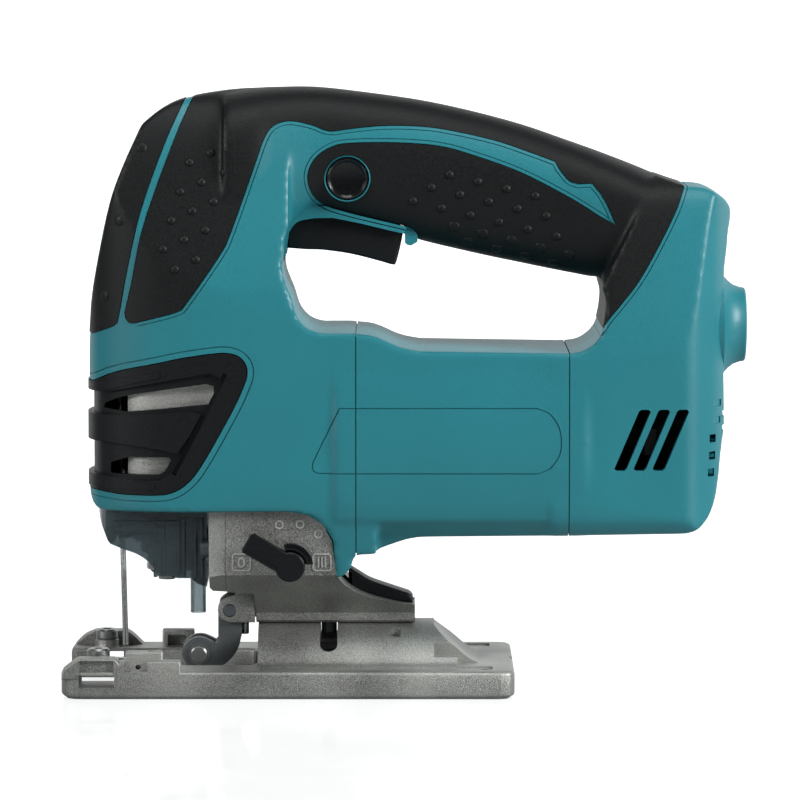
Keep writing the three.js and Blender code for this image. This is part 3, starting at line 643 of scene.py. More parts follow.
# Smoked polycarbonate: clear, dark grey-blue, glossy.
SMOKED = Finish("smoked_polycarbonate", "56666C", "65767C", 0.08, 2.0, 0.03, spread=0.03,
                transmission=0.72)
# Clear polycarbonate of the blower tube.
CLEAR = Finish("clear_polycarbonate", "C4D0D3", "D3DDDF", 0.1, 2.0, 0.03, spread=0.03,
               transmission=0.95)
# Turned copper of the commutator: warm and bright.
COPPER = Finish("turned_copper", "A8623A", "C47F52", 0.3, 0.4, 0.1, metallic=1.0)
# Sintered bronze of the bushes: warm, dull and porous.
BRONZE = Finish("sintered_bronze", "8A6237", "A87C4A", 0.45, 0.3, 0.2, metallic=1.0)
# Pressed carbon of the brushes: black and matt.
CARBON = Finish("pressed_carbon", "1E1E1E", "333333", 0.7, 0.3, 0.3)
# Stacked steel sheet of the cores: fine dark lines across the stack.
LAMINATE = Finish("stacked_steel_sheet", "55585B", "7B7F82", 0.4, 0.5, 0.3, metallic=0.9,
                  stretch=(1.0, 0.05, 0.05))
# Potted circuit board: green and satin.
CIRCUIT = Finish("potted_circuit", "24503A", "2F6349", 0.5, 1.5, 0.1)


def piece(form: Form, name: str, finish: Finish, body: str = "housing",
          replaces: Sequence[str] = (), edge: float = 0.0, crease: float = 32.0) -> bpy.types.Object:
    """Turns a form into a finished piece of the jigsaw.

    Args:
        form: shape in millimetres.
        name: the piece's name.
        finish: its material.
        body: the body that it rides on.
        replaces: CAD nodes that it stands for.
        edge: radius given to its sharp edges, or 0.
        crease: edges sharper than this many degrees stay crisp.

    Returns:
        The piece.
    """
    mesh = form.mesh
    bmesh.ops.dissolve_degenerate(mesh, edges=mesh.edges, dist=1e-4)
    bmesh.ops.scale(mesh, verts=mesh.verts, vec=(MM, MM, MM))
    data = bpy.data.meshes.new(name)
    mesh.to_mesh(data)
    mesh.free()
    data.polygons.foreach_set("use_smooth", [True] * len(data.polygons))
    data.set_sharp_from_angle(angle=math.radians(crease))
    data.materials.append(finish.material())
    thing = bpy.data.objects.new(name, data)
    bpy.context.scene.collection.objects.link(thing)
    if edge:
        bevel = thing.modifiers.new("edge", "BEVEL")
        bevel.width = edge * MM
        bevel.segments = 2
        bevel.limit_method = "ANGLE"
        bevel.angle_limit = math.radians(crease)
        bevel.harden_normals = True
    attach(thing, body)
    if replaces:
        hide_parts(*replaces)
    log.info("made %s with %d faces", name, len(data.polygons))
    return thing


# ---------------------------------------------------------------- housing


@dataclass
class Housing:
    """The moulded shells, the motor barrel, the soft skins and the nose guard."""

    seam_front: float = -17.1
    seam_rear: float = 56.3
    gap: float = 0.4
    cord_z: float = 126.0
    dial_z: float = 154.0
    lock_at: Point = (-19.9, 177.3)
    voxel: float = 1.0
    skin_depth: float = 1.3
    skin_rise: float = 0.3
    lip: float = 1.2
    groove: float = 0.35
    dot_radius: float = 1.5
    dot_height: float = 0.75

    def head(self) -> Form:
        """The head: its side view, plan and front view, intersected.

        Returns:
            The head's form.
        """
        side = outline(
            (-105.8, 63), (-108.4, 65.4), (-109.7, 69.6), (-109.7, 108), (-109.2, 121),
            [(-108.8, 126), (-107.6, 138), (-104.2, 155.5), (-100.8, 169.8), (-96.6, 181.5),
             (-90.8, 194.6)],
            [(-89.8, 196.2), (-82.6, 201.6), (-73.8, 204.9), (-56.5, 207.6), (-38, 208.2)],
            (-40, 208.1), (-40, 160), (-34, 140), (-30, 125.7),
            (-10, 125.4), (-10, 48.6), (-17.5, 48.4), (-18.7, 43.7), (-21.5, 40.7), (-24.4, 40.1),
            (-24.6, 53), [(-25, 54), (-28.8, 59.4), (-34.5, 62.6), (-41, 63.6)])
        plan = mirrored([(-109.7, 0), (-108.9, 9), (-106, 17), (-99, 23.5), (-88, 27.8),
                         (-76, 29.8)], [(-72, 30.2), (-50, 31.2)], (-8, 31.6))
        front = swapped(mirrored((38, 0), (38, 25.6), [(48, 27), (56, 28.6), (64, 30.2),
                                 (76, 31.4)], (128, 31.4),
                                 [(140, 30.6), (155, 27.6), (172, 23.6), (188, 19.4),
                                  (199, 14.6), (205, 9), (208, 0)]))
        return Form.prism(Axis.Y, side, -34, 34).common(
            Form.prism(Axis.Z, plan, 30, 220), Form.prism(Axis.X, front, -130, 0))

    def grip(self) -> Form:
        """The oval grip of the D-handle.

        Returns:
            The grip's form.
        """
        top = curve([(-62, 206.4), (-52, 207.6), (-44, 208.1), (-30.6, 208.1), (-14, 206.3), (4.9, 203.6),
                     (22, 200), (40, 195.2), (56, 189.7), (68, 185.4), (82, 179.9), (94, 174.4)])
        low = curve([(-62, 150), (-52, 152), (-44, 156), (-30.6, 164.4), (-14, 161), (4.9, 155.6),
                     (22, 151.5), (40, 147.8), (56, 144.4), (68, 143), (82, 146), (94, 152)])
        width = curve([(-62, 24.6), (-52, 23.2), (-44, 20.8), (-30.6, 18), (-14, 17.2), (4.9, 17),
                       (22, 17), (40, 17.2), (56, 18.4), (68, 20.6), (82, 22.8), (94, 22)])
        rings = [(Vector((t.x, 0, (t.y + b.y) / 2)), w.y, (t.y - b.y) / 2)
                 for t, b, w in zip(top, low, width)]
        return Form.loft(rings, corner=2.6)

    def barrel_form(self) -> Form:
        """The motor barrel: its cross-section along the side view.

        Returns:
            The barrel's form.
        """
        side = outline((-24, 48.6), (-17.5, 48.6), [(-10, 49.5), (-4, 51.8), (3, 53.9), (12, 54.3)],
                       (62, 54.8), (62, 126), (-24, 126))
        section = swapped(mirrored((46, 0), (46, 20), (54.2, 23.5), (60.8, 30.4),
                                   [(66, 31.6), (76, 32.6), (88, 33), (100, 32.6), (112, 31.6)],
                                   (126.5, 31.2), (126.5, 0)))
        return Form.prism(Axis.Y, side, -34, 34).common(Form.prism(Axis.X, section, -24, 62))

    def rear(self) -> Form:
        """The rear section, which narrows to the width of the grip at its top.

        Returns:
            The rear section's form.
        """
        side = outline(
            (50, 54.8), (50, 126), (62, 130), (70, 146), (78, 162), (86, 178.3), (90, 176.7),
            (96, 174.7), [(99, 174.8), (104, 173.8), (109.4, 170.6), (112.6, 166.4), (112.4, 162.6)],
            (109.9, 146), (109.9, 112), (110.3, 91.3),
            [(108.9, 83), (107.8, 73), (106.3, 65.8), (103.2, 59.8), (98, 56.2), (90, 55.6)])
        plan = mirrored((48, 32), (70, 32), (96, 31.2), [(98.4, 30.4), (101.4, 27.8), (106.4, 21),
                                                        (110, 12.6), (112, 6), (112.9, 0)])
        section = swapped(mirrored(
            (54, 0), (54, 24), [(56.4, 28.4), (60.6, 31.2), (66, 32)], (108, 32),
            [(118, 31.6), (130, 30.2), (150, 27.2), (164, 24.4), (172, 21.4), (177, 16), (181, 8),
             (183, 0)]))
        return Form.prism(Axis.Y, side, -34, 34).common(
            Form.prism(Axis.Z, plan, 40, 190), Form.prism(Axis.X, section, 40, 130))

    def hole(self) -> list[Vector]:
        """Side view of the opening in the D-handle, with the trigger's place.

        Returns:
            The opening's outline.
        """
        return outline(
            [(-41.2, 152.6), (-41.4, 146.2), (-40.3, 142), (-38.2, 136.9), (-36.4, 131.1),
             (-33.2, 127.3), (-29, 125.7)], [(-18.5, 125.7), (-10.5, 124.7), (-2, 121.1), (4.7, 119.6)],
            (30, 119.2), [(55.5, 118.8), (60.5, 119.6), (64.6, 122.4), (66.8, 126.2),
                          (67.9, 131.9), (68.1, 136.9), (66.3, 141.1), (63, 143.3), (56, 144.8)],
            [(45, 146.9), (31.8, 149.6), (15, 153.4), (8.3, 155), (4.6, 156)],
            (-0.3, 158.2), [(-13, 161), (-26.6, 164.2), (-31.3, 164.4), (-36.1, 163.1),
                            (-38.6, 161.1), (-40.2, 158.4)])

    def flare(self) -> Form:
        """The sloping border around the opening, as a cutter for the left side.

        Returns:
            A cutter.
        """
        ring = [
            ((-31, 17, 164.3), (-42.6, 16, 199)), ((-38.4, 17, 161.1), (-48.6, 19.6, 188)),
            ((-40.8, 17, 155.5), (-51.8, 23, 175)), ((-41.4, 17, 148.5), (-52, 25.6, 164)),
            ((-40.6, 17, 142.8), (-51.4, 27.8, 154.8)), ((-38.6, 17.6, 137.5), (-50, 30.2, 143)),
            ((-36.8, 18.4, 131.6), (-48, 31.3, 130)), ((-33.4, 19, 127.4), (-43.5, 31.5, 120)),
            ((-29, 19.6, 125.7), (-35, 31.6, 117)), ((-18.5, 19.6, 125.7), (-20, 31.6, 116)),
            ((-10.5, 19.6, 124.7), (-9, 31.6, 114.8)), ((-2, 19.6, 121.1), (0, 31.6, 113.5)),
            ((4.7, 19.6, 119.6), (7, 31.6, 113.1)), ((30, 19.6, 119.2), (30, 31.6, 113.1)),
            ((55.4, 19.6, 118.9), (56.2, 31.6, 113)), ((57.5, 19, 119), (57.6, 32, 104.5)),
            ((60.5, 19, 119.6), (63.1, 32, 105.3)), ((64.2, 19, 121.8), (68.1, 32, 107.5)),
            ((66.3, 19, 124.8), (72.2, 31.9, 111)), ((67.3, 18.6, 129), (75.2, 31.7, 116.9)),
            ((67.9, 18.4, 133), (78.3, 30.9, 124.3)), ((68.1, 18.2, 136.9), (82.1, 29.9, 132.4)),
            ((67.4, 18, 139.4), (86, 28.9, 139.1)), ((65.6, 18, 141.6), (89.4, 27.8, 146.2)),
            ((62, 18, 143.5), (92.4, 26.7, 153.2)), ((54, 18, 145.2), (94.7, 25.3, 160.5)),
            ((44, 18, 147.2), (97, 22.6, 169.5)), ((30, 18, 150), (99, 20, 184)),
            ((15, 18, 153.4), (60, 20, 215)), ((0, 18, 157.6), (0, 20, 222)),
            ((-16, 18, 161.5), (-34, 18, 216))]
        mesh = bmesh.new()
        loops = [[Vector((a[0] + (b[0] - a[0]) * share, a[1] * (1 - share) + b[1] * share - drop,
                          a[2] + (b[2] - a[2]) * share)) for a, b in ring]
                 for share, drop in ((0, 13), (0.07, 5.5), (0.25, 0), (1, 0))]
        loops.append([Vector((p.x, FAR, p.z)) for p in loops[-1]])
        face = mesh.faces.new([mesh.verts.new((p.x, -p.y, p.z)) for p in loops[0]])
        for before, after in zip(loops, loops[1:]):
            made = bmesh.ops.extrude_face_region(mesh, geom=[face])["geom"]
            face = next(f for f in made if isinstance(f, bmesh.types.BMFace))
            goals = {(round(b.x, 3), round(b.z, 3)): a for b, a in zip(before, after)}
            for vert in face.verts:
                goal = goals[(round(vert.co.x, 3), round(vert.co.z, 3))]
                vert.co = (goal.x, -goal.y, goal.z)
        bmesh.ops.triangulate(mesh, faces=mesh.faces)
        bmesh.ops.recalc_face_normals(mesh, faces=mesh.faces)
        return Form(mesh)

    def whole(self) -> Form:
        """The outer form of the whole housing as one flowing skin.

        Returns:
            The outer form.
        """
        flare = self.flare()
        body = self.head().joined(self.barrel_form()).joined(self.rear()).cut(
            flare, flare.other_side(), Form.prism(Axis.Y, grown(self.hole(), 0.6), -60, 60))
        return body.with_loose(self.grip().cut(Form.prism(Axis.Y, self.hole(), -60, 60))).flowing(
            self.voxel, 7)

    def skin_area(self) -> list[Vector]:
        """Side view of the soft skin: head side, top and grip, around the teal strip.

        Returns:
            The skin's outline.
        """
        return outline(
            (-95.9, 131.8), [(-95.6, 130), (-94.6, 128.7), (-93.2, 128.3)],
            [(-88, 129.6), (-78.1, 132.4), (-74.6, 135.6), (-63.4, 151.7), (-59.6, 159.6),
             (-51.8, 181.6), (-48.2, 191.6), (-44.8, 195.8), (-39.3, 197.2), (-32, 195.8),
             (-26, 193.7), (-18.6, 194.5), (-7.8, 195.5), (4.6, 195.3), (14.8, 194),
             (31.3, 190.3), (44.6, 185.8)], (51.6, 183.2),
            [(53, 180.6), (56.2, 176.8), (59.4, 175.6)], (64.1, 175.9),
            [(67, 172.4), (69.6, 167.8), (72.2, 161.6)],
            [(67, 164.2), (56.3, 170.8), (39.7, 179.3), (23.1, 185.3), (11.9, 188.3),
             (-2, 189.5), (-18.6, 189.4), (-25.6, 188), (-31, 184), (-33.3, 178.2),
             (-31.8, 172.2), (-27.6, 168.2), (-18.7, 165.3), (-2, 161.3), (1.6, 160.2),
             (3.4, 158.6), (4.4, 156)], (4.6, 150),
            (40, 138), (60, 134), (64, 124.8), (66.4, 125.6),
            [(69.1, 129.6), (74.1, 135.6), (79.9, 143.2), (86.5, 154.7), (92.3, 166.3),
             (95.2, 174)], (97, 190), (40, 220), (-72.6, 220), (-73, 204.7),
            [(-75.6, 199), (-78.4, 192.3), (-85.2, 174), (-90.2, 158.2), (-93.6, 141.5)])

    def pad_area(self) -> list[Vector]:
        """Side view of the front grip pad."""
        return outline(
            (-130, 124.1), (-107.7, 124.1), (-100.4, 127),
            [(-98.8, 128.2), (-98.3, 130.6), (-97.5, 134.4), (-95.1, 147.1), (-90.4, 167.1),
             (-82.8, 188.8), (-76.1, 204.2)], (-75.7, 220), (-130, 220))

    def guard_area(self) -> list[Vector]:
        """Side view of the nose guard."""
        return outline(
            (-130, 107), (-107.7, 107.4),
            [(-101.8, 110.3), (-95.9, 112.1), (-86.4, 114.1), (-76.2, 116.3), (-66.3, 117.8),
             (-61, 118.1), (-57, 117), (-54.6, 114.2), (-54.2, 110.8), (-55.2, 107.4),
             (-58.5, 100), (-65.2, 87.7), (-71, 78), (-75.1, 73.3), (-79.4, 70.6),
             (-84.6, 69.5), (-96.1, 69.4)], (-106.7, 70.3), (-130, 70.6))

    def ring(self, area: list[Vector], whole: Form, offset: float, width: float,
             depth: float) -> Form:
        """A fine groove that runs around an area.

        Args:
            area: side view outline.
            whole: form in whose surface the groove lies.
            offset: distance of the groove from the area's edge.
            width: width of the groove.
            depth: depth of the groove.

        Returns:
            A cutter.
        """
        band = Form.prism(Axis.Y, grown(area, offset + width), -60, 60)
        return band.cut(Form.prism(Axis.Y, grown(area, offset), -61, 61), whole.puffed(-depth))

    def dots(self, skin: Form, spots: Iterable[Point], radius: float, height: float) -> list[Form]:
        """Small domes that stand on the skin.

        Args:
            skin: the form that they stand on.
            spots: side view positions.
            radius: radius of each dome.
            height: how far each one stands out.

        Returns:
            One flat dome for each spot.
        """
        domes = []
        tree = BVHTree.FromBMesh(skin.mesh)
        for x, z in spots:
            spot, normal, _, _ = tree.ray_cast(Vector((x, -FAR, z)), Vector((0, 1, 0)))
            mesh = bmesh.new()
            bmesh.ops.create_uvsphere(mesh, u_segments=14, v_segments=8, radius=1)
            place = (Matrix.Translation(spot) @ normal.to_track_quat("Z", "Y").to_matrix().to_4x4()
                     @ Matrix.Diagonal((radius, radius, height, 1)))
            bmesh.ops.transform(mesh, matrix=place, verts=mesh.verts)
            domes.append(Form(mesh))
        return domes

    def grip_spots(self) -> list[Point]:
        """Staggered rows of dots on the grip and on the side of the head."""
        rows = [(2.7, 169.5, 6, 9.85, -2.42), (9, 174.3, 5, 9.85, -2.45), (15.2, 178.7, 4, 9.8, -2.42),
                (-66.6, 186.3, 2, -7.2, -3.2), (-62.5, 179.6, 3, -7.2, -3.2),
                (-65.5, 169.9, 3, -7.2, -3.2), (-68.3, 160.2, 3, -7.2, -3.2),
                (-71.4, 150.2, 2, -7.2, -3.2)]
        return [(x + dx * i, z + dz * i) for x, z, count, dx, dz in rows for i in range(count)]

    def low_spots(self) -> list[Point]:
        """Two rows of wider, flatter dots under the grip."""
        rows = [(16.8, 160.6, 5), (21.6, 155.4, 4)]
        return [(x + 9.85 * i, z - 2.4 * i) for x, z, count in rows for i in range(count)]

    def head_inside(self) -> Form:
        """The hollow of the head.

        Returns:
            A cutter.
        """
        head = Form.prism(Axis.Y, outline(
            (-104, 66), (-106, 72), (-106, 120), (-103, 140), (-94, 176), (-84, 190), (-62, 194),
            (-56, 178), (-57, 158), (-54, 136), (-50, 118), (-42, 110), (-20.6, 108), (-20.6, 66)),
            -26.5, 26.5)
        plan = mirrored((-106.4, 0), (-105, 8), (-100, 16), (-90, 22), (-70, 26), (-10, 26.5))
        front = swapped(mirrored((50, 0), (50, 26.5), (128, 26.5), (160, 19), (196, 9), (198, 0)))
        return head.common(Form.prism(Axis.Z, plan, 30, 220), Form.prism(Axis.X, front, -130, 0))

    def rear_inside(self) -> Form:
        """The hollow of the rear section.

        Returns:
            A cutter.
        """
        side = outline((59.5, 60), (59.5, 99), (70, 103), (76, 112), (83, 127), (90, 139), (96, 152),
                       (100, 164), (106, 164), (106, 112), (106.6, 92), (104.6, 74), (101, 62), (96, 60))
        plan = mirrored((59, 27.6), (76, 27.6), (93, 26.6), (97.5, 25), (103, 17.6), (106.6, 8), (107.4, 0))
        section = swapped(mirrored((58, 0), (58, 22), (63, 26.6), (70, 27.8), (108, 27.8), (130, 25.4),
                                   (150, 22), (164, 18), (168, 0)))
        return Form.prism(Axis.Y, side, -34, 34).common(
            Form.prism(Axis.Z, plan, 40, 190), Form.prism(Axis.X, section, 40, 130))

    def trigger_space(self) -> Form:
        """The space in which the trigger swings."""
        return Form.block((-43.4, -0.3), (-9.7, 9.7), (148, 171.5))

    def openings(self, whole: Form) -> list[Form]:
        """Windows, slots, holes and the open underside of the shells.

        Args:
            whole: outer form of the housing.

        Returns:
            The cutters.
        """
        vents = [Form.prism(Axis.Y, outline(
            (71.4 + s, 78.6), (72.2 + s, 78), (75 + s, 78), (75.8 + s, 78.8), (83.9 + s, 98.2),
            (83.2 + s, 99), (80.6 + s, 99), (79.8 + s, 98.4)), -60, 60) for s in (0, 6.6, 13.1)]
        corner = [Form.block((x, x + 2.3), (side - 24, side + 24), (z, z + 2.8))
                  for x, z in ((104.5, 86.9), (104.3, 81), (103.9, 75.2)) for side in (-36, 36)]
        shallow = [Form.block((x, x + 2.6), (-60, 60), (z, z + 2.4)).cut(whole.puffed(-0.4))
                   for x, z in ((106.2, 99), (106, 93.2))]
        back = [Form.block((104, 120), (side - 5.5, side + 5.5), (z, z + 2.2))
                for z in range(70, 98, 5) for side in (-8.5, 8.5)]
        under = [Form.block((-68.2, -24.8), (-26.8, 26.8), (20, 72)),
                 Form.prism(Axis.Z, mirrored((-60, 17.6), (-92, 18), (-97, 16.6), (-101.4, 12.8),
                                              (-104.4, 7), (-105.4, 0)), 20, 70),
                 self.trigger_space()]
        holes = [Form.rod(Axis.Y, 7.45, -60, -8, self.lock_at),
                 Form.rod(Axis.X, 5.95, 98, 130, (0, self.cord_z)),
                 Form.rod(Axis.X, 9.6, 98, 130, (0, self.dial_z))]
        return [*vents, *corner, *shallow, *back, *under, *holes]

    def screw_spots(self) -> list[Point]:
        """Screw holes in the right half, as x and z."""
        return [(-88, 124), (-32, 118), (-34, 200), (46, 183), (100, 160), (70, 64), (96, 70)]

    def build(self) -> None:
        """Makes and dresses every outer part of the housing."""
        whole = self.whole()
        boss = Form.turned(Axis.X, [(0, 102), (18.4, 102), (18, 109.9), (16.8, 110.6), (15.2, 112),
                                    (13.8, 113.8), (13, 116), (12.8, 117.4), (12.3, 117.9), (0, 117.9)],
                           (0, self.cord_z), 64)
        hook_side = outline(
            (-0.6, 158.6), (-0.1, 157.6), (-0.1, 154.9), (0.6, 154.2), (2, 153.9), (4.2, 155.2),
            (4.35, 157), (3.4, 159.4), (0.6, 160.6))
        hook = Form.prism(Axis.Y, hook_side, -10.4, 10.4)
        lip_side = outline(
            (-41.2, 150), (-40.7, 154), [(-40, 158.6), (-38.4, 161), (-36.1, 162.6), (-31.3, 163.5)],
            [(-25, 163.6), (-15.5, 161.7), (-5.2, 159.2)], (-0.4, 158.2), (1, 161.5), (-18, 166.5),
            (-34, 168.4), (-43.6, 164), (-44.4, 150))
        lip = Form.prism(Axis.Y, lip_side, -12.6, 12.6)
        skin_outer, under = whole.puffed(self.skin_rise), whole.puffed(-self.skin_depth)
        skin_area, pad_area, guard_area = self.skin_area(), self.pad_area(), self.guard_area()
        recesses = [Form.prism(Axis.Y, grown(area, 0.25), -60, 60).cut(under)
                    for area in (skin_area, pad_area)]
        window = Form.prism(Axis.Y, grown(guard_area, 0.35), -60, 60)
        behind = Form.prism(Axis.Y, outline((-93, 122), (-66, 214), (130, 214), (130, 100)), -62, 62)
        grooves = [self.ring(guard_area, whole, 2.1, 0.4, 0.45),
                   self.ring(skin_area, whole, self.lip, self.groove, 0.4).common(behind)]
        barrel_space = Form.block((self.seam_front, self.seam_rear), (-60, 60), (0, 127))
        self.barrel(whole)
        shell = whole.joined(boss, lip).cut(barrel_space, window)
        shell = shell.cut(*recesses, *grooves, self.pill(whole)).joined(hook)
        shell = shell.cut(self.head_inside(), self.rear_inside(), *self.openings(whole))
        keep_out = [self.trigger_space(), Form.rod(Axis.Y, 8.1, -60, 60, self.lock_at)]
        skin = skin_outer.cut(under).common(Form.prism(Axis.Y, skin_area, -60, 60)).cut(*keep_out)
        # A black sheet inside the rear hollow behind the vents, so they read dark: painted shade.
        baffle = Form.block((66, 106), (-1.4, 1.4), (61, 103), 0.4)
        piece(baffle.common(self.rear_inside().puffed(0.6)), "vent_shade_sheet", NYLON)
        for side, sign in (("left", -1), ("right", 1)):
            region = Form.block((-FAR, FAR), (0.08, 80) if sign > 0 else (-80, -0.08), (0, 260))
            part = shell.common(region)
            cover = skin.common(region)
            domes = [*self.dots(skin_outer, self.grip_spots(), self.dot_radius, self.dot_height),
                     *self.dots(skin_outer, self.low_spots(), 2.0, 0.5)]
            if sign > 0:
                domes = [dome.other_side() for dome in domes]
                holes = [Form.rod(Axis.Y, 3.8, 9, 60, spot) for spot in self.screw_spots()]
                part, cover = part.cut(*holes), cover.cut(*holes)
            piece(part, f"shell_{side}", TEAL_ABS,
                  replaces=[f"handle_shell_{side}"])
            piece(cover.with_loose(*domes), f"soft_skin_{side}", SOFT_GRIP,
                  replaces=[f"grip_overmould_{side}"])
        pad = skin_outer.cut(under).common(Form.prism(Axis.Y, pad_area, -60, 60))
        bumps = self.dots(skin_outer, [(-90.3, 188.2), (-97.8, 163.2), (-103.1, 137.3)], 1.9, 0.5)
        pad.with_loose(*bumps, *[bump.other_side() for bump in bumps])
        piece(pad, "front_pad", SOFT_GRIP, replaces=["front_grip_pad"])
        self.lock_ring(skin_outer)
        self.guard(whole)
        self.screws(whole)

    def pill(self, whole: Form) -> Form:
        """The fine outline of the label field that runs over the front seam."""
        shape = outline((-22.4, 99.4), [(-31.6, 80.6), (-31.4, 78.2), (-29.6, 77.2)], (45.5, 77.2),
                        [(49.6, 79), (52.6, 83.5), (53.2, 88.5), (52.2, 93.4), (49.2, 97.6),
                         (45, 99.4)])
        return self.ring(shape, whole, -0.1, 0.4, 0.4)

    def barrel(self, whole: Form) -> None:
        """The motor barrel between its two seams, with a collar that enters both neighbours.

        Args:
            whole: outer form of the housing.
        """
        space = Form.block((self.seam_front + self.gap, self.seam_rear - self.gap), (-60, 60), (0, 127))
        collar = whole.puffed(-0.9).common(
            Form.block((self.seam_front - 1, self.seam_rear + 1), (-60, 60), (0, 127)))
        barrel = whole.common(space).cut(self.pill(whole)).joined(collar)
        piece(barrel.cut(Form.rod(Axis.X, 29, -30, 70, (0, 87.5))), "motor_barrel", TEAL_ABS,
              replaces=["motor_housing"])

    def lock_ring(self, skin: Form) -> None:
        """The teal collar around the lock button.

        Args:
            skin: outer form of the soft skin.
        """
        spot, _ = skin.height_at(*self.lock_at)
        y = spot.y
        collar = Form.turned(Axis.Y, [(7.5, y - 0.1), (7.7, y - 0.35), (7.95, y - 0.1), (7.95, y + 3),
                                      (7.5, y + 3)], self.lock_at, 64)
        piece(collar, "lock_collar", TEAL_ABS)

    def guard(self, whole: Form) -> None:
        """The slotted nose guard with its frame, its raised bands and its diagonal channel.

        Args:
            whole: outer form of the housing.
        """
        area = Form.prism(Axis.Y, self.guard_area(), -60, 60)
        back = whole.puffed(-3.6)
        frame = whole.puffed(0.15).cut(back)
        inner = outline((-130, 103.2), (-103, 104.4), (-92, 106.6), (-78, 109.4), (-67, 111.4),
                        (-63.4, 110), (-64.6, 105), (-72, 92), (-80, 77.4), (-84, 74.4), (-100, 73.6),
                        (-130, 74.6))
        dish = Form.prism(Axis.Y, inner, -60, 60).cut(whole.puffed(-1.5))
        channel = Form.prism(Axis.Y, outline((-62.2, 111.6), (-60.8, 110.8), (-70.6, 91.4), (-78.6, 76),
                                             (-80, 76.8), (-72, 92.2)), -60, 60).cut(whole.puffed(-0.9))
        guard = frame.common(area).cut(dish, channel)
        bands = [
            outline((-130, 87.6), (-130, 96.2), (-98, 96.4), (-86, 97.2), (-74, 98.2), (-69.8, 97.4),
                    (-73.4, 90.6), (-78, 83.6), (-84, 85), (-100, 87)),
            outline((-130, 103), (-130, 106.4), (-104, 107.8), (-92, 110.4), (-84, 111.8), (-84, 109.6),
                    (-94, 107.4), (-104, 104.6)),
            outline((-130, 71.4), (-130, 75.6), (-104, 75.4), (-92, 74), (-86, 72.8), (-86, 71.2),
                    (-104, 71)),
        ]
        heights = (0.55, 0.5, 0.5)
        for band, height in zip(bands, heights):
            raised = whole.puffed(height).cut(back)
            guard = guard.joined(raised.common(Form.prism(Axis.Y, band, -60, 60), area))
        upper = outline((-103.6, 98.6), [(-103.4, 100.2), (-97, 102.8), (-84, 105.2), (-68, 107.6)],
                        (-65.6, 106.8), (-65.4, 104.6), (-67.4, 100.6), (-84, 98.8), (-96, 97.6))
        lower = outline((-101.4, 76.6), (-101.2, 80), (-95, 82.1), (-81, 82.2), (-80.2, 81.2),
                        (-82.4, 77.4), (-84.4, 76.2), (-100.6, 76.1))
        guard = guard.cut(*[Form.prism(Axis.Y, slot, -60, 60) for slot in (upper, lower)])
        piece(guard, "nose_guard_moulding", NYLON, replaces=["nose_guard"])
        # A black sheet inside the head behind the guard's slots, so they read dark: painted shade.
        shield = Form.block((-105.5, -95), (-0.8, 0.8), (66, 120), 0.3)
        piece(shield, "nose_slot_shade_sheet", NYLON)

    def screws(self, whole: Form) -> None:
        """Pan-head screws in the right half.

        Args:
            whole: outer form of the housing.
        """
        mirrored_whole = whole.other_side()
        for number, spot in enumerate(self.screw_spots(), 1):
            hit, _ = mirrored_whole.height_at(*spot)
            y = -hit.y - 2.6
            head = Form.turned(Axis.Y, [(0, y - 6), (1.6, y - 6), (1.6, y - 0.6), (3.3, y - 0.6),
                                        (3.3, y + 0.6), (2.4, y + 1.5), (0, y + 1.7)], spot, 32)
            slots = [Form.block((spot[0] - a, spot[0] + a), (y + 0.4, y + 4), (spot[1] - b, spot[1] + b))
                     for a, b in ((2, 0.4), (0.4, 2))]
            piece(head.cut(*slots), f"housing_screw_{number}", BLACKENED)


# ---------------------------------------------------------------- controls


@dataclass
class Controls:
    """Trigger, lock button, speed dial and cord bushing."""

    lock_at: Point = (-19.9, 177.3)
    cord_z: float = 126.0
    dial_z: float = 154.0

    def build(self) -> None:
        """Makes every control."""
        blade = outline(
            (-40.6, 153), [(-34, 152.5), (-28.1, 152.3), (-18.9, 151), (-10, 148.8), (-4.8, 147.3)],
            [(-3.6, 147.2), (-3, 148.4), (-1.8, 153), (-0.8, 158)], (-2, 161), (-9, 166), (-38, 168),
            (-41.4, 160))
        trigger = Form.prism(Axis.Y, blade, -9.2, 9.2, bevel=1.0, segments=3)
        piece(trigger, "trigger_lever", NYLON, "trigger", ["trigger"])
        dished = Form.turned(Axis.Y, [(0, -15.9), (3.5, -16.0), (5.6, -16.4), (6.1, -16.9), (6.5, -17.2),
                                      (7.0, -17.0), (7.2, -16.4), (7.2, -14.4), (5, -14.4), (5, -12.4),
                                      (0, -12.4)], self.lock_at, 64)
        piece(dished, "lock_knob", GLOSSY_NYLON, "lock_button", ["lock_button"])
        self.dial()
        bushing = Form.turned(Axis.X, [(4, 101), (5.8, 101), (5.8, 117.2), (5.2, 117.7), (4.4, 117.7),
                                       (4, 117.2)], (0, self.cord_z))
        piece(bushing, "cord_bush", SOFT_GRIP, replaces=["cord_bushing"])

    def dial(self) -> None:
        """The round speed dial with finger notches and an index bar."""
        knob = Form.turned(Axis.X, [(0, 105), (8.8, 105), (8.8, 109), (8.2, 109.6), (5.4, 109.6),
                                    (4.8, 108.8), (0, 108.6)], (0, self.dial_z))
        notches = [Form.rod(Axis.X, 1.0, 104, 111, (0, self.dial_z + 9.2), segments=16)
                   .turned_about("X", 15 * i, (0, 0, self.dial_z)) for i in range(24)]
        bar = Form.block((108, 109.5), (-0.6, 0.6), (self.dial_z - 4, self.dial_z + 4.6), 0.2)
        piece(knob.cut(*notches).with_loose(bar), "dial_knob", NYLON,
              "speed_dial", ["speed_dial"])


# ---------------------------------------------------------------- gear case


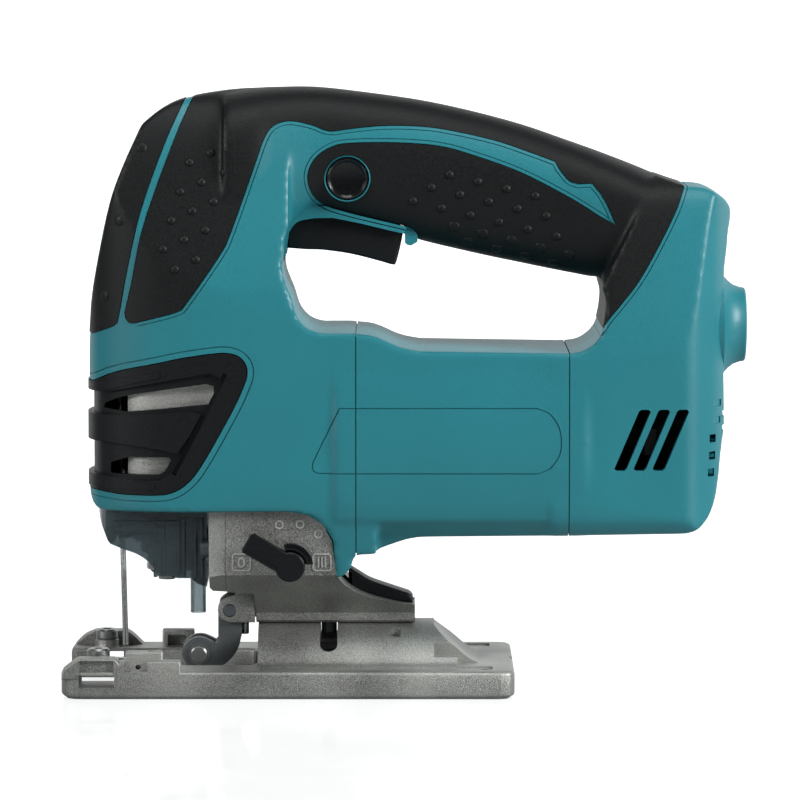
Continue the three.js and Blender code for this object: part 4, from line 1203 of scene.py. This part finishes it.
@dataclass
class GearCase:
    """The die-cast case with its foot, its front cover and the marks beside the lever."""

    arch: float = 23.4
    half: float = 26.0
    lever_at: Point = (-39.4, 45.2)

    def slope(self) -> Form:
        """The castings' front view: straight sides that slope in to the foot's rim."""
        section = swapped(mirrored((18, 0), (18, 6.4), (22.7, 6.4), (23.3, 7.6), (26, 7.6),
                                   (28.4, 9.4), (41.4, self.half), (139, self.half), (139, 0)))
        return Form.prism(Axis.X, section, -110, 10)

    def case(self) -> None:
        """The rear casting: side wall, slope, saddle foot and duct channel."""
        side = outline(
            (-61.7, 139), (-61.7, 34.4), (-52.4, 33.8), (-51.6, 20), (3.4, 20), (3.4, 29.2),
            [(-1, 29.7), (-6, 30.7), (-12.8, 32.6), (-17.6, 34.9), (-21.2, 37.8), (-23.4, 40.9)],
            (-25.2, 53.2), (-27.2, 56.9), (-27.2, 118.5), (-45, 120.8), (-46, 139))
        form = Form.prism(Axis.Y, side, -40, 40).common(self.slope())
        hollow = [
            Form.block((-63, -40), (-24, 24), (66, 117.5)),
            Form.block((-63, -48.4), (-24, 24), (110, 137)),
            Form.rod(Axis.X, self.arch, -80, 20, (0, 0), segments=128),
            Form.block((-29.9, -15.1), (-3.1, 3.1), (18, 26)),
            Form.block((-29.9, -15.1), (-5.4, 5.4), (24.2, 28.5)),
            Form.block((-22, 6), (-6.2, 6.2), (28.9, 50)),
            Form.rod(Axis.Y, 3.4, -30, 8, self.lever_at),
        ]
        piece(form.cut(*hollow), "gear_case", CAST, replaces=["gear_housing"], edge=0.45)
        marks = self.marks()
        # The raised marks take the lighter cast finish as a painted highlight.
        piece(marks[0].with_loose(*marks[1:]), "case_marks", CAST_PAINTED_HIGHLIGHT)

    def marks(self) -> list[Form]:
        """Raised position rings and the two framed setting marks on the left side.

        Returns:
            One form for each mark.
        """
        face = -self.half
        cx, cz = self.lever_at
        rings = []
        for degrees in (47.6, 76.6, 105.7):
            angle = math.radians(degrees)
            at = (cx + 14.2 * math.cos(angle), cz + 14.2 * math.sin(angle))
            rings.append(Form.tube(Axis.Y, 1.0, 1.55, face - 0.35, face + 0.5, at, 24))
        frames = []
        for x in (-56.3, -28.6):
            ring = Form.prism(Axis.Y, round_corners(6.6, 6.2, 1.2, (x, 45.9)), face - 0.35, face + 0.5)
            hole = Form.prism(Axis.Y, round_corners(5.6, 5.2, 0.8, (x, 45.9)), face - 1, face + 1)
            frames.append(ring.cut(hole))
        zero = Form.prism(Axis.Y, round_corners(2.5, 3.6, 1.2, (-56.3, 45.9)), face - 0.35, face + 0.5)
        zero = zero.cut(Form.prism(Axis.Y, round_corners(1.3, 2.4, 0.6, (-56.3, 45.9)), face - 1, face + 1))
        bars = [Form.block((-28.6 + s - 0.28, -28.6 + s + 0.28), (face - 0.35, face + 0.5), (44.1, 47.7))
                for s in (-1.2, 0, 1.2)]
        return [*rings, *frames, zero, *bars]

    def weight_way(self) -> Form:
        """The space that the counterweight needs over its whole travel.

        Returns:
            A cutter.
        """
        spans = list(zip(*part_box("counterweight")))
        room = (0.5, 0.5, 7.2)
        return Form.block(*[(low / MM - more, high / MM + more)
                            for (low, high), more in zip(spans, room)])

    def cover(self) -> None:
        """The front casting that holds the plunger bushes, seen behind the nose guard."""
        plan = mirrored((-61.8, 26), (-63, 26), (-67.6, 24.8),
                        [(-78, 24.6), (-88, 24.2), (-94, 21.6), (-97.4, 17.4), (-100, 8), (-100.6, 0)])
        side = outline((-61.8, 139), (-61.8, 34.6), (-66.4, 34.9), (-67.5, 36.2), (-67.6, 66.8), (-76, 70),
                       (-99, 70), (-103, 74), (-103, 110), (-94, 122), (-90, 139))
        form = Form.prism(Axis.Y, side, -40, 40).common(Form.prism(Axis.Z, plan, 20, 200), self.slope())
        inner = Form.prism(Axis.Y, outline((-60, 74), (-95, 74), (-98, 78), (-98, 108), (-90, 119),
                                           (-86, 136), (-60, 136)), -20.5, 20.5)
        hollow = [inner, Form.block((-70, -60), (-8, 8), (30, 60)),
                  Form.rod(Axis.Z, 5, 60, 150, (-83, 0)), Form.rod(Axis.Z, 8.7, 71, 88, (-83, 0)),
                  Form.rod(Axis.Z, 8.7, 137.5, 160, (-83, 0)),
                  self.weight_way()]
        ribs = [Form.block((-90, -66), (-27, 27), (79.4, 80.1))]
        form = form.cut(*hollow, *[rib.cut(form.puffed(-0.6)) for rib in ribs])
        piece(form, "gear_case_cover", CAST, replaces=["gear_housing_cover"], edge=0.5)
        for side_name, y in (("left", -21), ("right", 21)):
            head = Form.turned(Axis.X, [(0, -70.6), (2.6, -70.6), (3, -70.2), (3, -67.8), (0, -67.8)],
                               (y, 50), 32).cut(Form.rod(Axis.X, 1.4, -75, -69, (y, 50), segments=6))
            piece(head, f"cover_screw_{side_name}", BLACKENED)

    def duct(self) -> None:
        """The black duct that lies in the foot's channel."""
        shape = outline([(-19.7, 41.7), (-16, 39.4), (-11.9, 37), (-5, 34.6), (1, 32.6)],
                        [(2, 32), (2.7, 31)], (2.7, 29.2), (-19.7, 29.2))
        form = Form.prism(Axis.Y, shape, -5.8, 5.8, bevel=1.2)
        piece(form, "dust_duct_moulding", NYLON, replaces=["dust_duct"])

    def lever(self) -> None:
        """The orbit lever with its pointer arm, hub and ribbed arc."""
        x, z = self.lever_at
        centre = (x, 0, z)
        arm = Form.prism(Axis.Y, outline(
            (-17.3, -2.6), (-16.8, -3.8), (2, -3.8), (2, 3.8), (-16.2, 3.8), (-17.3, 2.6)),
            -34.9, -31.2, bevel=0.6, segments=2).moved(x, 0, z).turned_about("Y", 30, centre)
        rib = Form.prism(Axis.Y, outline((-16.6, -3.3), (-4, -3.3), (-4, -2.4), (-16.6, -2.4)),
                         -35.3, -34).moved(x, 0, z).turned_about("Y", 30, centre)
        hub = Form.rod(Axis.Y, 5.1, -35.0, -26.4, self.lever_at, 0.5)
        sector = Form.prism(Axis.Y, outline((x, z), (x - 3.4, z + 12), (x + 12, z + 12), (x + 12, z + 1.6)),
                            -40, -20)
        web = Form.rod(Axis.Y, 7.6, -31.8, -28, self.lever_at, 0.3).common(sector)
        arc = Form.tube(Axis.Y, 5.9, 7.9, -34.2, -31.4, self.lever_at, 64).common(sector)
        grooves = [Form.block((x + 6.6, x + 9.4), (-40, -32.6), (z - 0.22, z + 0.22))
                   .turned_about("Y", -degrees, centre) for degrees in range(20, 104, 7)]
        form = hub.joined(arm, web, arc.cut(*grooves)).with_loose(rib)
        piece(form, "orbit_lever_moulding", NYLON, "orbit_lever", ["orbit_lever"])

    def build(self) -> None:
        """Makes the castings and what is fixed to them."""
        self.case()
        self.cover()
        self.duct()
        self.lever()


# ---------------------------------------------------------------- under the nose


@dataclass
class Nose:
    """The dust cover, blower tube, guard wire, blade clamp and the roller group."""

    plunger_x: float = -83.0
    pivot: Point = (-61.0, 26.8)
    roller: Point = (-71.8, 11.3)

    def dust_cover(self) -> None:
        """The thin clear visor with its round sleeve around the blade clamp."""
        side = outline((-106.6, 62.7), (-106.6, 60.6), (-105.2, 56.6), (-103, 51.8),
                       [(-102, 50.8), (-98, 49.6), (-93, 48), (-89.6, 46), (-87.4, 43.8), (-85.8, 41.2)],
                       (-85.6, 40.2), (-79.3, 40.2), (-79, 39.4), (-68.6, 39.4), (-68.4, 62.7))
        plan = mirrored((-68.4, 18.4), (-92, 18.8), [(-97, 17.6), (-102, 13.6), (-105.4, 7.4), (-106.6, 0)])
        inner_plan = mirrored((-60, 17), (-92, 17.4),
                              [(-96.4, 16.2), (-100.9, 12.6), (-104, 6.6), (-105.1, 0)])
        inner_side = outline((-105.1, 70), (-105.1, 60.6), (-100.6, 49), (-100, 30), (-60, 30), (-60, 70))
        hollow = Form.prism(Axis.Z, inner_plan, 20, 80).common(Form.prism(Axis.Y, inner_side, -30, 30))
        form = Form.prism(Axis.Y, side, -30, 30).common(Form.prism(Axis.Z, plan, 20, 80)).cut(hollow)
        ribs = [Form.rod(Axis.Z, 0.7, 39.8 if x > -88 else 46, 60.4, (x, -18.3), 0.2, 12)
                for x in (-86.2, -83.4, -78.2, -76.4, -72.4, -70.2)]
        lips = [Form.block((-101, -86), (-18.9, -17.2), (54.6, 55.3), 0.2),
                Form.block((-100.4, -78), (-18.9, -17.2), (58.6, 59.5), 0.2)]
        sleeve = Form.tube(Axis.Z, 7.9, 8.7, 40.4, 60.4, (self.plunger_x, 0))
        sleeve = sleeve.common(Form.prism(Axis.Y, side, -30, 30))
        tail_side = outline((-74, 41), (-73.9, 37.4), (-72, 36), (-68.9, 35), (-68.6, 41))
        tail_inside = outline((-75, 42), (-73, 37.9), (-71.6, 36.8), (-67, 36), (-67, 42))
        tail = Form.prism(Axis.Y, tail_side, -7.6, 7.6).cut(Form.prism(Axis.Y, tail_inside, -6.8, 6.8))
        piece(form.with_loose(*ribs, *lips, sleeve, tail), "clear_dust_cover", SMOKED,
              "dust_cover", ["dust_cover"], edge=0.25)

    def blower(self) -> None:
        """The clear nozzle that blows dust off the cutting line."""
        form = Form.tube(Axis.Z, 1.9, 2.6, 25.2, 62, (-72.2, 0), 32)
        fins = [Form.block((-74.9, -73.6), (-0.5, 0.5), (25.2, 50)),
                Form.block((-70.6, -69.5), (-0.5, 0.5), (25.4, 50))]
        piece(form.with_loose(*fins), "blower_nozzle", CLEAR, replaces=["blower_tube"])

    def wire(self) -> None:
        """The steel wire in front of the blade."""
        knots = [(-4, -97.5, 60), (-1.2, -98.4, 50), (0, -98.2, 40), (0, -97.6, 13.7)]
        mesh = bmesh.new()
        rings = []
        count = 24
        for i in range(count + 1):
            t = i / count * (len(knots) - 1)
            k = min(int(t), len(knots) - 2)
            a, b = Vector(knots[k]), Vector(knots[k + 1])
            u = t - k
            centre = a.lerp(b, u * u * (3 - 2 * u)) if k < 2 else a.lerp(b, u)
            made = bmesh.ops.create_circle(mesh, segments=16, radius=1.0)["verts"]
            for vert in made:
                vert.co = Vector((centre.y + vert.co.x, centre.x + vert.co.y, centre.z))
            rings.append(made)
        bmesh.ops.bridge_loops(mesh, edges=mesh.edges[:])
        for ring in (rings[0], rings[-1]):
            rim = [e for e in mesh.edges if e.verts[0] in ring and e.verts[1] in ring]
            bmesh.ops.contextual_create(mesh, geom=rim)
        bmesh.ops.recalc_face_normals(mesh, faces=mesh.faces)
        piece(Form(mesh), "guard_wire", GROUND_STEEL, replaces=["finger_guard_wire"])

    def clamp(self) -> None:
        """The blade clamp and its bright sleeve."""
        at = (self.plunger_x, 0)
        slit = Form.block((-90, -76), (-0.9, 0.9), (30, 41))
        body = Form.turned(Axis.Z, [(0, 39.4), (5.2, 39.4), (5.8, 40), (5.8, 55), (4.8, 55), (4.8, 43),
                                    (0, 43)], at).cut(slit)
        tip = Form.turned(Axis.Z, [(0, 37), (2.8, 37), (3.15, 37.35), (3.15, 39.7), (0, 39.7)], at).cut(slit)
        piece(tip, "clamp_tip", TURNED, "plunger")
        piece(body, "clamp_body", BLACKENED, "plunger", ["blade_clamp"])
        sleeve = Form.turned(Axis.Z, [(6.1, 40.6), (6.8, 40.6), (7.2, 41), (7.2, 49.5), (6.8, 50),
                                      (6.1, 50)], at)
        grooves = [Form.tube(Axis.Z, 6.9, 8, z, z + 0.7, at) for z in (42.5, 44.5, 46.5)]
        piece(sleeve.cut(*grooves), "clamp_ring", GROUND_STEEL, "plunger", ["clamp_sleeve"])

    def roller_arm(self) -> None:
        """The forked arm with its curved cheeks."""
        px, pz = self.pivot
        rx, rz = self.roller
        cheek = outline(
            [(px - 4.1, pz), (px - 3, pz + 3), (px, pz + 4.2), (px + 3, pz + 3), (px + 4.1, pz)],
            [(-56.9, 22), (-56.9, 18.5), (-58, 13.8), (-60.6, 9.6), (-64.6, 6.9), (rx, rz - 5.9)],
            [(rx - 3.6, rz - 4.7), (rx - 5.8, rz - 1), (rx - 5.4, rz + 2.6), (rx - 2.6, rz + 5.3),
             (rx + 1, rz + 5.8), (rx + 4.4, rz + 4.6)],
            [(-66.2, 15.2), (-65.2, 16.6), (-65.1, 20)])
        cheeks = Form.prism(Axis.Y, cheek, -6.2, -3.4, bevel=0.5, segments=2)
        other = Form.prism(Axis.Y, cheek, 3.4, 6.2, bevel=0.5, segments=2)
        bridge = Form.block((-63.5, -58), (-4, 4), (16.5, 21), 0.5)
        form = cheeks.joined(other, bridge).cut(Form.rod(Axis.Y, 2.3, -20, 20, self.pivot),
                                                Form.rod(Axis.Y, 2.2, -20, 20, self.roller))
        piece(form, "roller_fork", PHOSPHATED, "roller_arm", ["roller_arm"])
        pin = Form.turned(Axis.Y, [(0, -7.6), (2.4, -7.6), (2.9, -7.2), (2.9, -6.3), (1.9, -6.3), (1.9, 6.3),
                                   (2.9, 6.3), (2.9, 7.2), (2.4, 7.6), (0, 7.6)], self.roller)
        washer = Form.tube(Axis.Y, 3.0, 3.7, -6.8, -6.25, self.roller)
        piece(pin.with_loose(washer), "roller_axle", TURNED, "roller_arm", ["roller_pin"])
        wheel = Form.turned(Axis.Y, [(2.2, -3), (4.9, -3), (5.2, -2.7), (5.2, -1.3), (4.0, -0.7), (4.0, 0.7),
                                     (5.2, 1.3), (5.2, 2.7), (4.9, 3), (2.2, 3)], self.roller)
        piece(wheel, "blade_wheel", TURNED, "blade_roller", ["blade_roller"])

    def bracket(self) -> None:
        """The ears that hold the arm's pivot, and the pin."""
        px, pz = self.pivot
        ear = outline([(px - 4.2, pz), (px - 3.6, pz + 2.6), (px - 1, pz + 4.6)], (px + 3, 32.6),
                      (-52.2, 32.6), (-52.2, 22.6), [(px, pz - 4.2), (px - 3, pz - 3), (px - 4.2, pz)])
        ears = [Form.prism(Axis.Y, ear, low, low + 1.8, bevel=0.4, segments=2) for low in (-8.4, 6.6)]
        roof = Form.block((px + 2, -52.2), (-8.2, 8.2), (31, 34))
        form = ears[0].joined(ears[1], roof).cut(Form.rod(Axis.Y, 2.3, -20, 20, self.pivot))
        piece(form, "pivot_bracket", CAST, replaces=["roller_arm_bracket"])
        pin = Form.rod(Axis.Y, 2.15, -8.7, 8.7, self.pivot, 0.3)
        piece(pin, "pivot_pin", PHOSPHATED, replaces=["arm_pivot_pin"])
        rod = Form.rod(Axis.Z, 1.4, 17.6, 40, (-55.9, 0), 0.3)
        piece(rod, "push_rod", GROUND_STEEL, replaces=["orbit_push_rod"])

    def build(self) -> None:
        """Makes everything under the nose."""
        self.dust_cover()
        self.blower()
        self.wire()
        self.clamp()
        self.roller_arm()
        self.bracket()


# ---------------------------------------------------------------- base


@dataclass
class Base:
    """The die-cast base with its arch, lugs and fence slot, and the sole plate."""

    front: float = -118.0
    rear: float = 37.5
    half: float = 38.5
    rim: float = 9.6
    sole: float = 2.7
    arch: float = 23.0
    arch_inner: float = 19.0
    fence_x: float = -105.6
    fence_y: float = 25.0

    def plan(self, notch: float, notch_end: float) -> list[Vector]:
        """The plate's plan with its front notch.

        Args:
            notch: half width of the notch.
            notch_end: where the notch ends.

        Returns:
            The outline.
        """
        r, f, h, e = self.rear, self.front, self.half, notch_end
        corner = [(f, h - 7), (f + 0.9, h - 3.4), (f + 3.4, h - 0.9), (f + 7, h)]
        back = [(r - 5, h), (r - 1.5, h - 1.5), (r, h - 5)]
        return mirrored((e, 0), (e, notch - 3), (e - 1, notch - 0.9), (e - 3, notch), (f + 2, notch),
                        (f, notch + 2), corner, back, (r, 0))

    def plate(self) -> Form:
        """The flat casting with a raised rim, a step and pockets.

        Returns:
            The plate's form.
        """
        plate = Form.prism(Axis.Z, self.plan(20.5, -52.5), 0.7, self.rim, bevel=1.3, segments=4)
        return plate.cut(
            Form.prism(Axis.Z, grown(self.plan(19, -53.5), -1.2), -1, self.sole + 0.15),
            Form.block((-50, 30), (-33.6, -24.4), (self.rim - 0.7, 12)),
            Form.block((-50, 30), (24.4, 33.6), (self.rim - 0.7, 12)),
            Form.prism(Axis.Z, round_corners(8.6, 1.8, 0.85, (14.4, -29)), 4, 12),
            Form.rod(Axis.Z, 1.5, 4, 12, (27.4, -28)),
            Form.rod(Axis.Z, 1.5, 4, 12, (27.4, 28)),
            Form.rod(Axis.X, 4.4, 24, 40, (0, 5.2)),
        )

    def lugs(self) -> list[Form]:
        """Raised blocks and bosses around the notch.

        Returns:
            One form for each lug.
        """
        h = self.half
        near_side = outline((-117.6, 7), (-117.5, 9.2), (-116.6, 10.8), (-112.9, 13.6), (-111.6, 14.1),
                            (-99.9, 14.1), (-98.6, 13.4), (-97, 11), (-96.8, 7))
        near = Form.prism(Axis.Y, near_side, -h, -h + 8, 0.6)
        far = Form.prism(Axis.Y, outline((-117.6, 8), [(-117.2, 9.6), (-114, 12.6), (-110, 14.4)],
                                         [(-99, 14.4), (-96.8, 13), (-93, 9.4)], (-93, 8)), h - 8, h, 0.5)
        rough = Form.block((-98, -76.8), (-h, -h + 6.5), (6, 13.1), 0.5)
        hollow = Form.block((-96.3, -88.3), (-h - 1, -h + 1.2), (9.6, 14))
        eye = Form.rod(Axis.Y, 0.9, -h - 1, -h + 4, (-91.4, 11.2), segments=20)
        inner = Form.block((-96, -83.1), (-32, -26.8), (8, 15.6), 0.6).cut(
            Form.rod(Axis.Z, 1.8, 10, 20, (-88.2, -29.4)))
        bridge = Form.block((-86.1, -74.8), (27, 32), (8, 15.4), 0.6).cut(
            Form.block((-84.2, -77.6), (20, 30.6), (7, 13.4)))
        bosses = [Form.turned(Axis.Z, [(0, 8), (5.2, 8), (4.2, 10.2), (4.2, 12.2), (3.6, 12.6), (0, 12.6)],
                              (self.fence_x, side * self.fence_y), 32).cut(
            Form.rod(Axis.Z, 2.2, 7, 20, (self.fence_x, side * self.fence_y))) for side in (-1, 1)]
        return [near.cut(Form.block((-111.4, -99.7), (-h - 1, -h + 1.6), (7.8, 13.4))), far,
                rough.cut(hollow, eye), inner, bridge, *bosses]

    def arch_form(self) -> Form:
        """The saddle that the foot tilts on, with its notches and rear slope.

        Returns:
            The saddle's form.
        """
        arch = Form.rod(Axis.X, self.arch, -51, 10, (0, 0), segments=160).common(
            Form.block((-60, 20), (-40, 40), (self.sole + 0.15, 40)))
        heel_side = outline((6, 4), (6, 22.9), (8.4, 22.9),
                            [(9.4, 22.4), (13, 18.8), (17.3, 15.2), (22, 11.4), (27.5, 8.6)], (30, 4))
        heel = Form.prism(Axis.Y, heel_side, -16, 16).common(
            Form.rod(Axis.X, self.arch, 0, 40, (0, 0), segments=160))
        fillet_half = mirrored((4, 0), (4, 22.8), (9.5, 22.8), (9.9, 21.5), (10.8, 20.6), (12, 19.5),
                               (12, 0))
        fillet = Form.prism(Axis.X, swapped(fillet_half), -51, 18)
        return arch.joined(heel, fillet)

    def build(self) -> None:
        """Makes the base casting, sole plate, fence screws, fence spring and fence stop wire."""
        hollow = [
            Form.rod(Axis.X, self.arch_inner, -60, 8, (0, 0), segments=128),
            Form.block((-111.7, -99.5), (-60, 60), (4, 8.5)),
            Form.prism(Axis.X, outline((-10, 9.8), (-19.3, 18.9), (-12, 32), (12, 32), (19.3, 18.9),
                                       (10, 9.8)), -29.5, -23.5),
            *[Form.rod(Axis.Z, 3.0, 14, 30, (-26.5, 0)).turned_about("X", end, (0, 0, 0))
              for end in (-45.6, 45.6)],
            Form.block((-5.3, -1.6), (-26, -10), (18.2, 24)),
            *[Form.rod(Axis.Z, 2.2, 7, 20, (self.fence_x, s * self.fence_y)) for s in (-1, 1)],
        ]
        form = self.plate().joined(self.arch_form(), *self.lugs()).cut(*hollow)
        piece(form, "base_casting", CAST, "base", ["base_shoe"], edge=0.4)
        sole = Form.prism(Axis.Z, grown(self.plan(13, -55), -1.5), 0, self.sole, bevel=0.5, segments=3).cut(
            Form.block((-44, 6), (-13, 13), (-1, 4)))
        piece(sole, "sole_sheet", CAST, "base", ["sole_plate"])
        for side, sign in (("left", -1), ("right", 1)):
            at = (self.fence_x, sign * self.fence_y)
            profile = [(0, 8.8), (1.8, 8.8), (1.8, 12.9), (3.9, 12.9), (3.9, 15.4), (3.3, 16), (0, 16)]
            screw = Form.turned(Axis.Z, profile, at).cut(Form.rod(Axis.Z, 1.8, 14, 20, at, segments=6))
            piece(screw, f"fence_bolt_{side}", SHEET, "base", [f"fence_screw_{side}"])
        strip = Form.block((-104.6, -96.4), (-22.6, -21.4), (10.6, 12.4), 0.3)
        piece(strip, "fence_spring", GROUND_STEEL, "base")
        bar = Form.rod(Axis.X, 0.55, -110.9, -100.2, (-37.5, 8.6), 0.2, 16)
        piece(bar, "fence_stop_wire", GROUND_STEEL, "base")


# ---------------------------------------------------------------- inner parts


INNER = {
    "switch_body": NYLON, "switch_capacitor": TEAL_ABS, "speed_controller": CIRCUIT,
    "armature_shaft": GROUND_STEEL, "armature_core": LAMINATE, "commutator": COPPER,
    "cooling_fan": NYLON, "field_stator": LAMINATE, "front_bearing": GROUND_STEEL,
    "rear_bearing": GROUND_STEEL, "bearing_bracket": NYLON, "brush_holder_left": BRONZE,
    "carbon_brush_left": CARBON, "brush_holder_right": BRONZE, "carbon_brush_right": CARBON,
    "drive_gear": GROUND_STEEL, "gear_bearing": GROUND_STEEL, "gear_spindle": GROUND_STEEL,
    "crank_pin": GROUND_STEEL, "crank_roller": GROUND_STEEL, "plunger": GROUND_STEEL,
    "yoke": GROUND_STEEL, "plunger_bush_lower": BRONZE, "plunger_bush_upper": BRONZE,
    "counterweight": BLACKENED, "orbit_cam_shaft": GROUND_STEEL, "base_clamp_plate": SHEET,
    "base_clamp_bolt": BLACKENED, "base_clamp_nut": GROUND_STEEL,
}


def dress_inner_parts() -> None:
    """Gives each carried-over part its material."""
    for name, finish in INNER.items():
        part = frame["nodes"][name]
        part.data.materials.clear()
        part.data.materials.append(finish.material())
        log.info("dressed %s", name)


# ---------------------------------------------------------------- studio


@dataclass
class Studio:
    """Camera, soft lights and the pale floor."""

    camera_at: tuple[float, float, float] = (-0.0018, -1.715, 0.2535)
    tilt_down: float = 5.13
    focal: float = 222.75
    ambient: float = 0.05

    def light(self, name: str, at: Sequence[float], size: float, power: float) -> None:
        """One square softbox that faces the middle of the tool.

        Args:
            name: its name.
            at: where it stands, in metres.
            size: length of its side.
            power: its power in watts.
        """
        data = bpy.data.lights.new(name, "AREA")
        data.shape = "SQUARE"
        data.size = size
        data.energy = power
        lamp = bpy.data.objects.new(name, data)
        lamp.location = at
        aim = Vector((0, 0, 0.1)) - Vector(at)
        lamp.rotation_euler = aim.to_track_quat("-Z", "Y").to_euler()
        bpy.context.scene.collection.objects.link(lamp)

    def screen(self, name: str, matrix: Matrix, size: tuple[float, float], glow: float,
               unseen: float, roughness: float) -> None:
        """A white surface of the studio.

        Args:
            name: its name.
            matrix: where it stands.
            size: half width and half height.
            glow: light that it gives by itself towards the camera.
            unseen: light that it gives to all else.
            roughness: how dull it is.
        """
        mesh = bmesh.new()
        place = matrix @ Matrix.Diagonal((*size, 1, 1))
        bmesh.ops.create_grid(mesh, x_segments=1, y_segments=1, size=1, matrix=place)
        data = bpy.data.meshes.new(name)
        mesh.to_mesh(data)
        mesh.free()
        screen = bpy.data.objects.new(name, data)
        bpy.context.scene.collection.objects.link(screen)
        paint = Finish(f"{name}_paint", "A4A6A7", "A8AAAB", roughness, 30, 0.0).material()
        shader = next(n for n in paint.node_tree.nodes if n.type == "BSDF_PRINCIPLED")
        shader.inputs["Emission Color"].default_value = (1, 1, 1, 1)
        tree = paint.node_tree
        seen = add_node(tree, "ShaderNodeLightPath").outputs["Is Camera Ray"]
        strength = add_node(tree, "ShaderNodeMapRange", {
            "Value": seen, "To Min": unseen, "To Max": glow}).outputs[0]
        tree.links.new(strength, shader.inputs["Emission Strength"])
        output = next(n for n in tree.nodes if n.type == "OUTPUT_MATERIAL")
        behind = add_node(tree, "ShaderNodeNewGeometry").outputs["Backfacing"]
        clear = add_node(tree, "ShaderNodeBsdfTransparent")
        mix = add_node(tree, "ShaderNodeMixShader", {0: behind, 1: shader.outputs[0], 2: clear.outputs[0]})
        tree.links.new(mix.outputs[0], output.inputs["Surface"])
        data.materials.append(paint)

    def sky(self) -> None:
        """An even dim surround that is seen as white."""
        world = bpy.data.worlds.new("studio")
        world.use_nodes = True
        tree = world.node_tree
        tree.nodes.clear()
        seen = add_node(tree, "ShaderNodeLightPath").outputs["Is Camera Ray"]
        strength = add_node(tree, "ShaderNodeMapRange", {
            "Value": seen, "To Min": self.ambient, "To Max": 1.0}).outputs[0]
        glow = add_node(tree, "ShaderNodeBackground", {"Color": (1, 1, 1, 1), "Strength": strength})
        add_node(tree, "ShaderNodeOutputWorld", {"Surface": glow.outputs[0]})
        bpy.context.scene.world = world

    def build(self) -> None:
        """Sets the camera, the lights and the floor."""
        scene = bpy.context.scene
        data = bpy.data.cameras.new("camera")
        data.lens = self.focal
        data.sensor_width = 36
        data.clip_end = 50
        camera = bpy.data.objects.new("camera", data)
        camera.location = self.camera_at
        camera.rotation_euler = (math.radians(90 - self.tilt_down), 0, 0)
        scene.collection.objects.link(camera)
        scene.camera = camera
        scene.view_settings.view_transform = "Standard"
        self.sky()
        self.screen("floor", Matrix.Identity(4), (8, 8), 0.7, 0.04, 0.12)
        self.screen("backdrop", Matrix.Translation((0, 0.75, 0.6)) @ Matrix.Rotation(math.pi / 2, 4, "X"),
                    (1.2, 0.6), 1.0, 0.45, 0.9)
        self.light("overhead", (0.0, -0.5, 1.3), 0.7, 5.5)
        self.light("left", (-1.3, -0.8, 0.7), 0.6, 12)
        self.light("right", (1.3, -0.7, 0.7), 0.6, 26)


def main() -> None:
    """Builds the studio and every sub-assembly."""
    logging.basicConfig(level=logging.INFO)
    Studio().build()
    Housing().build()
    Controls().build()
    GearCase().build()
    Nose().build()
    Base().build()
    dress_inner_parts()


if __name__ == "__main__":
    main()
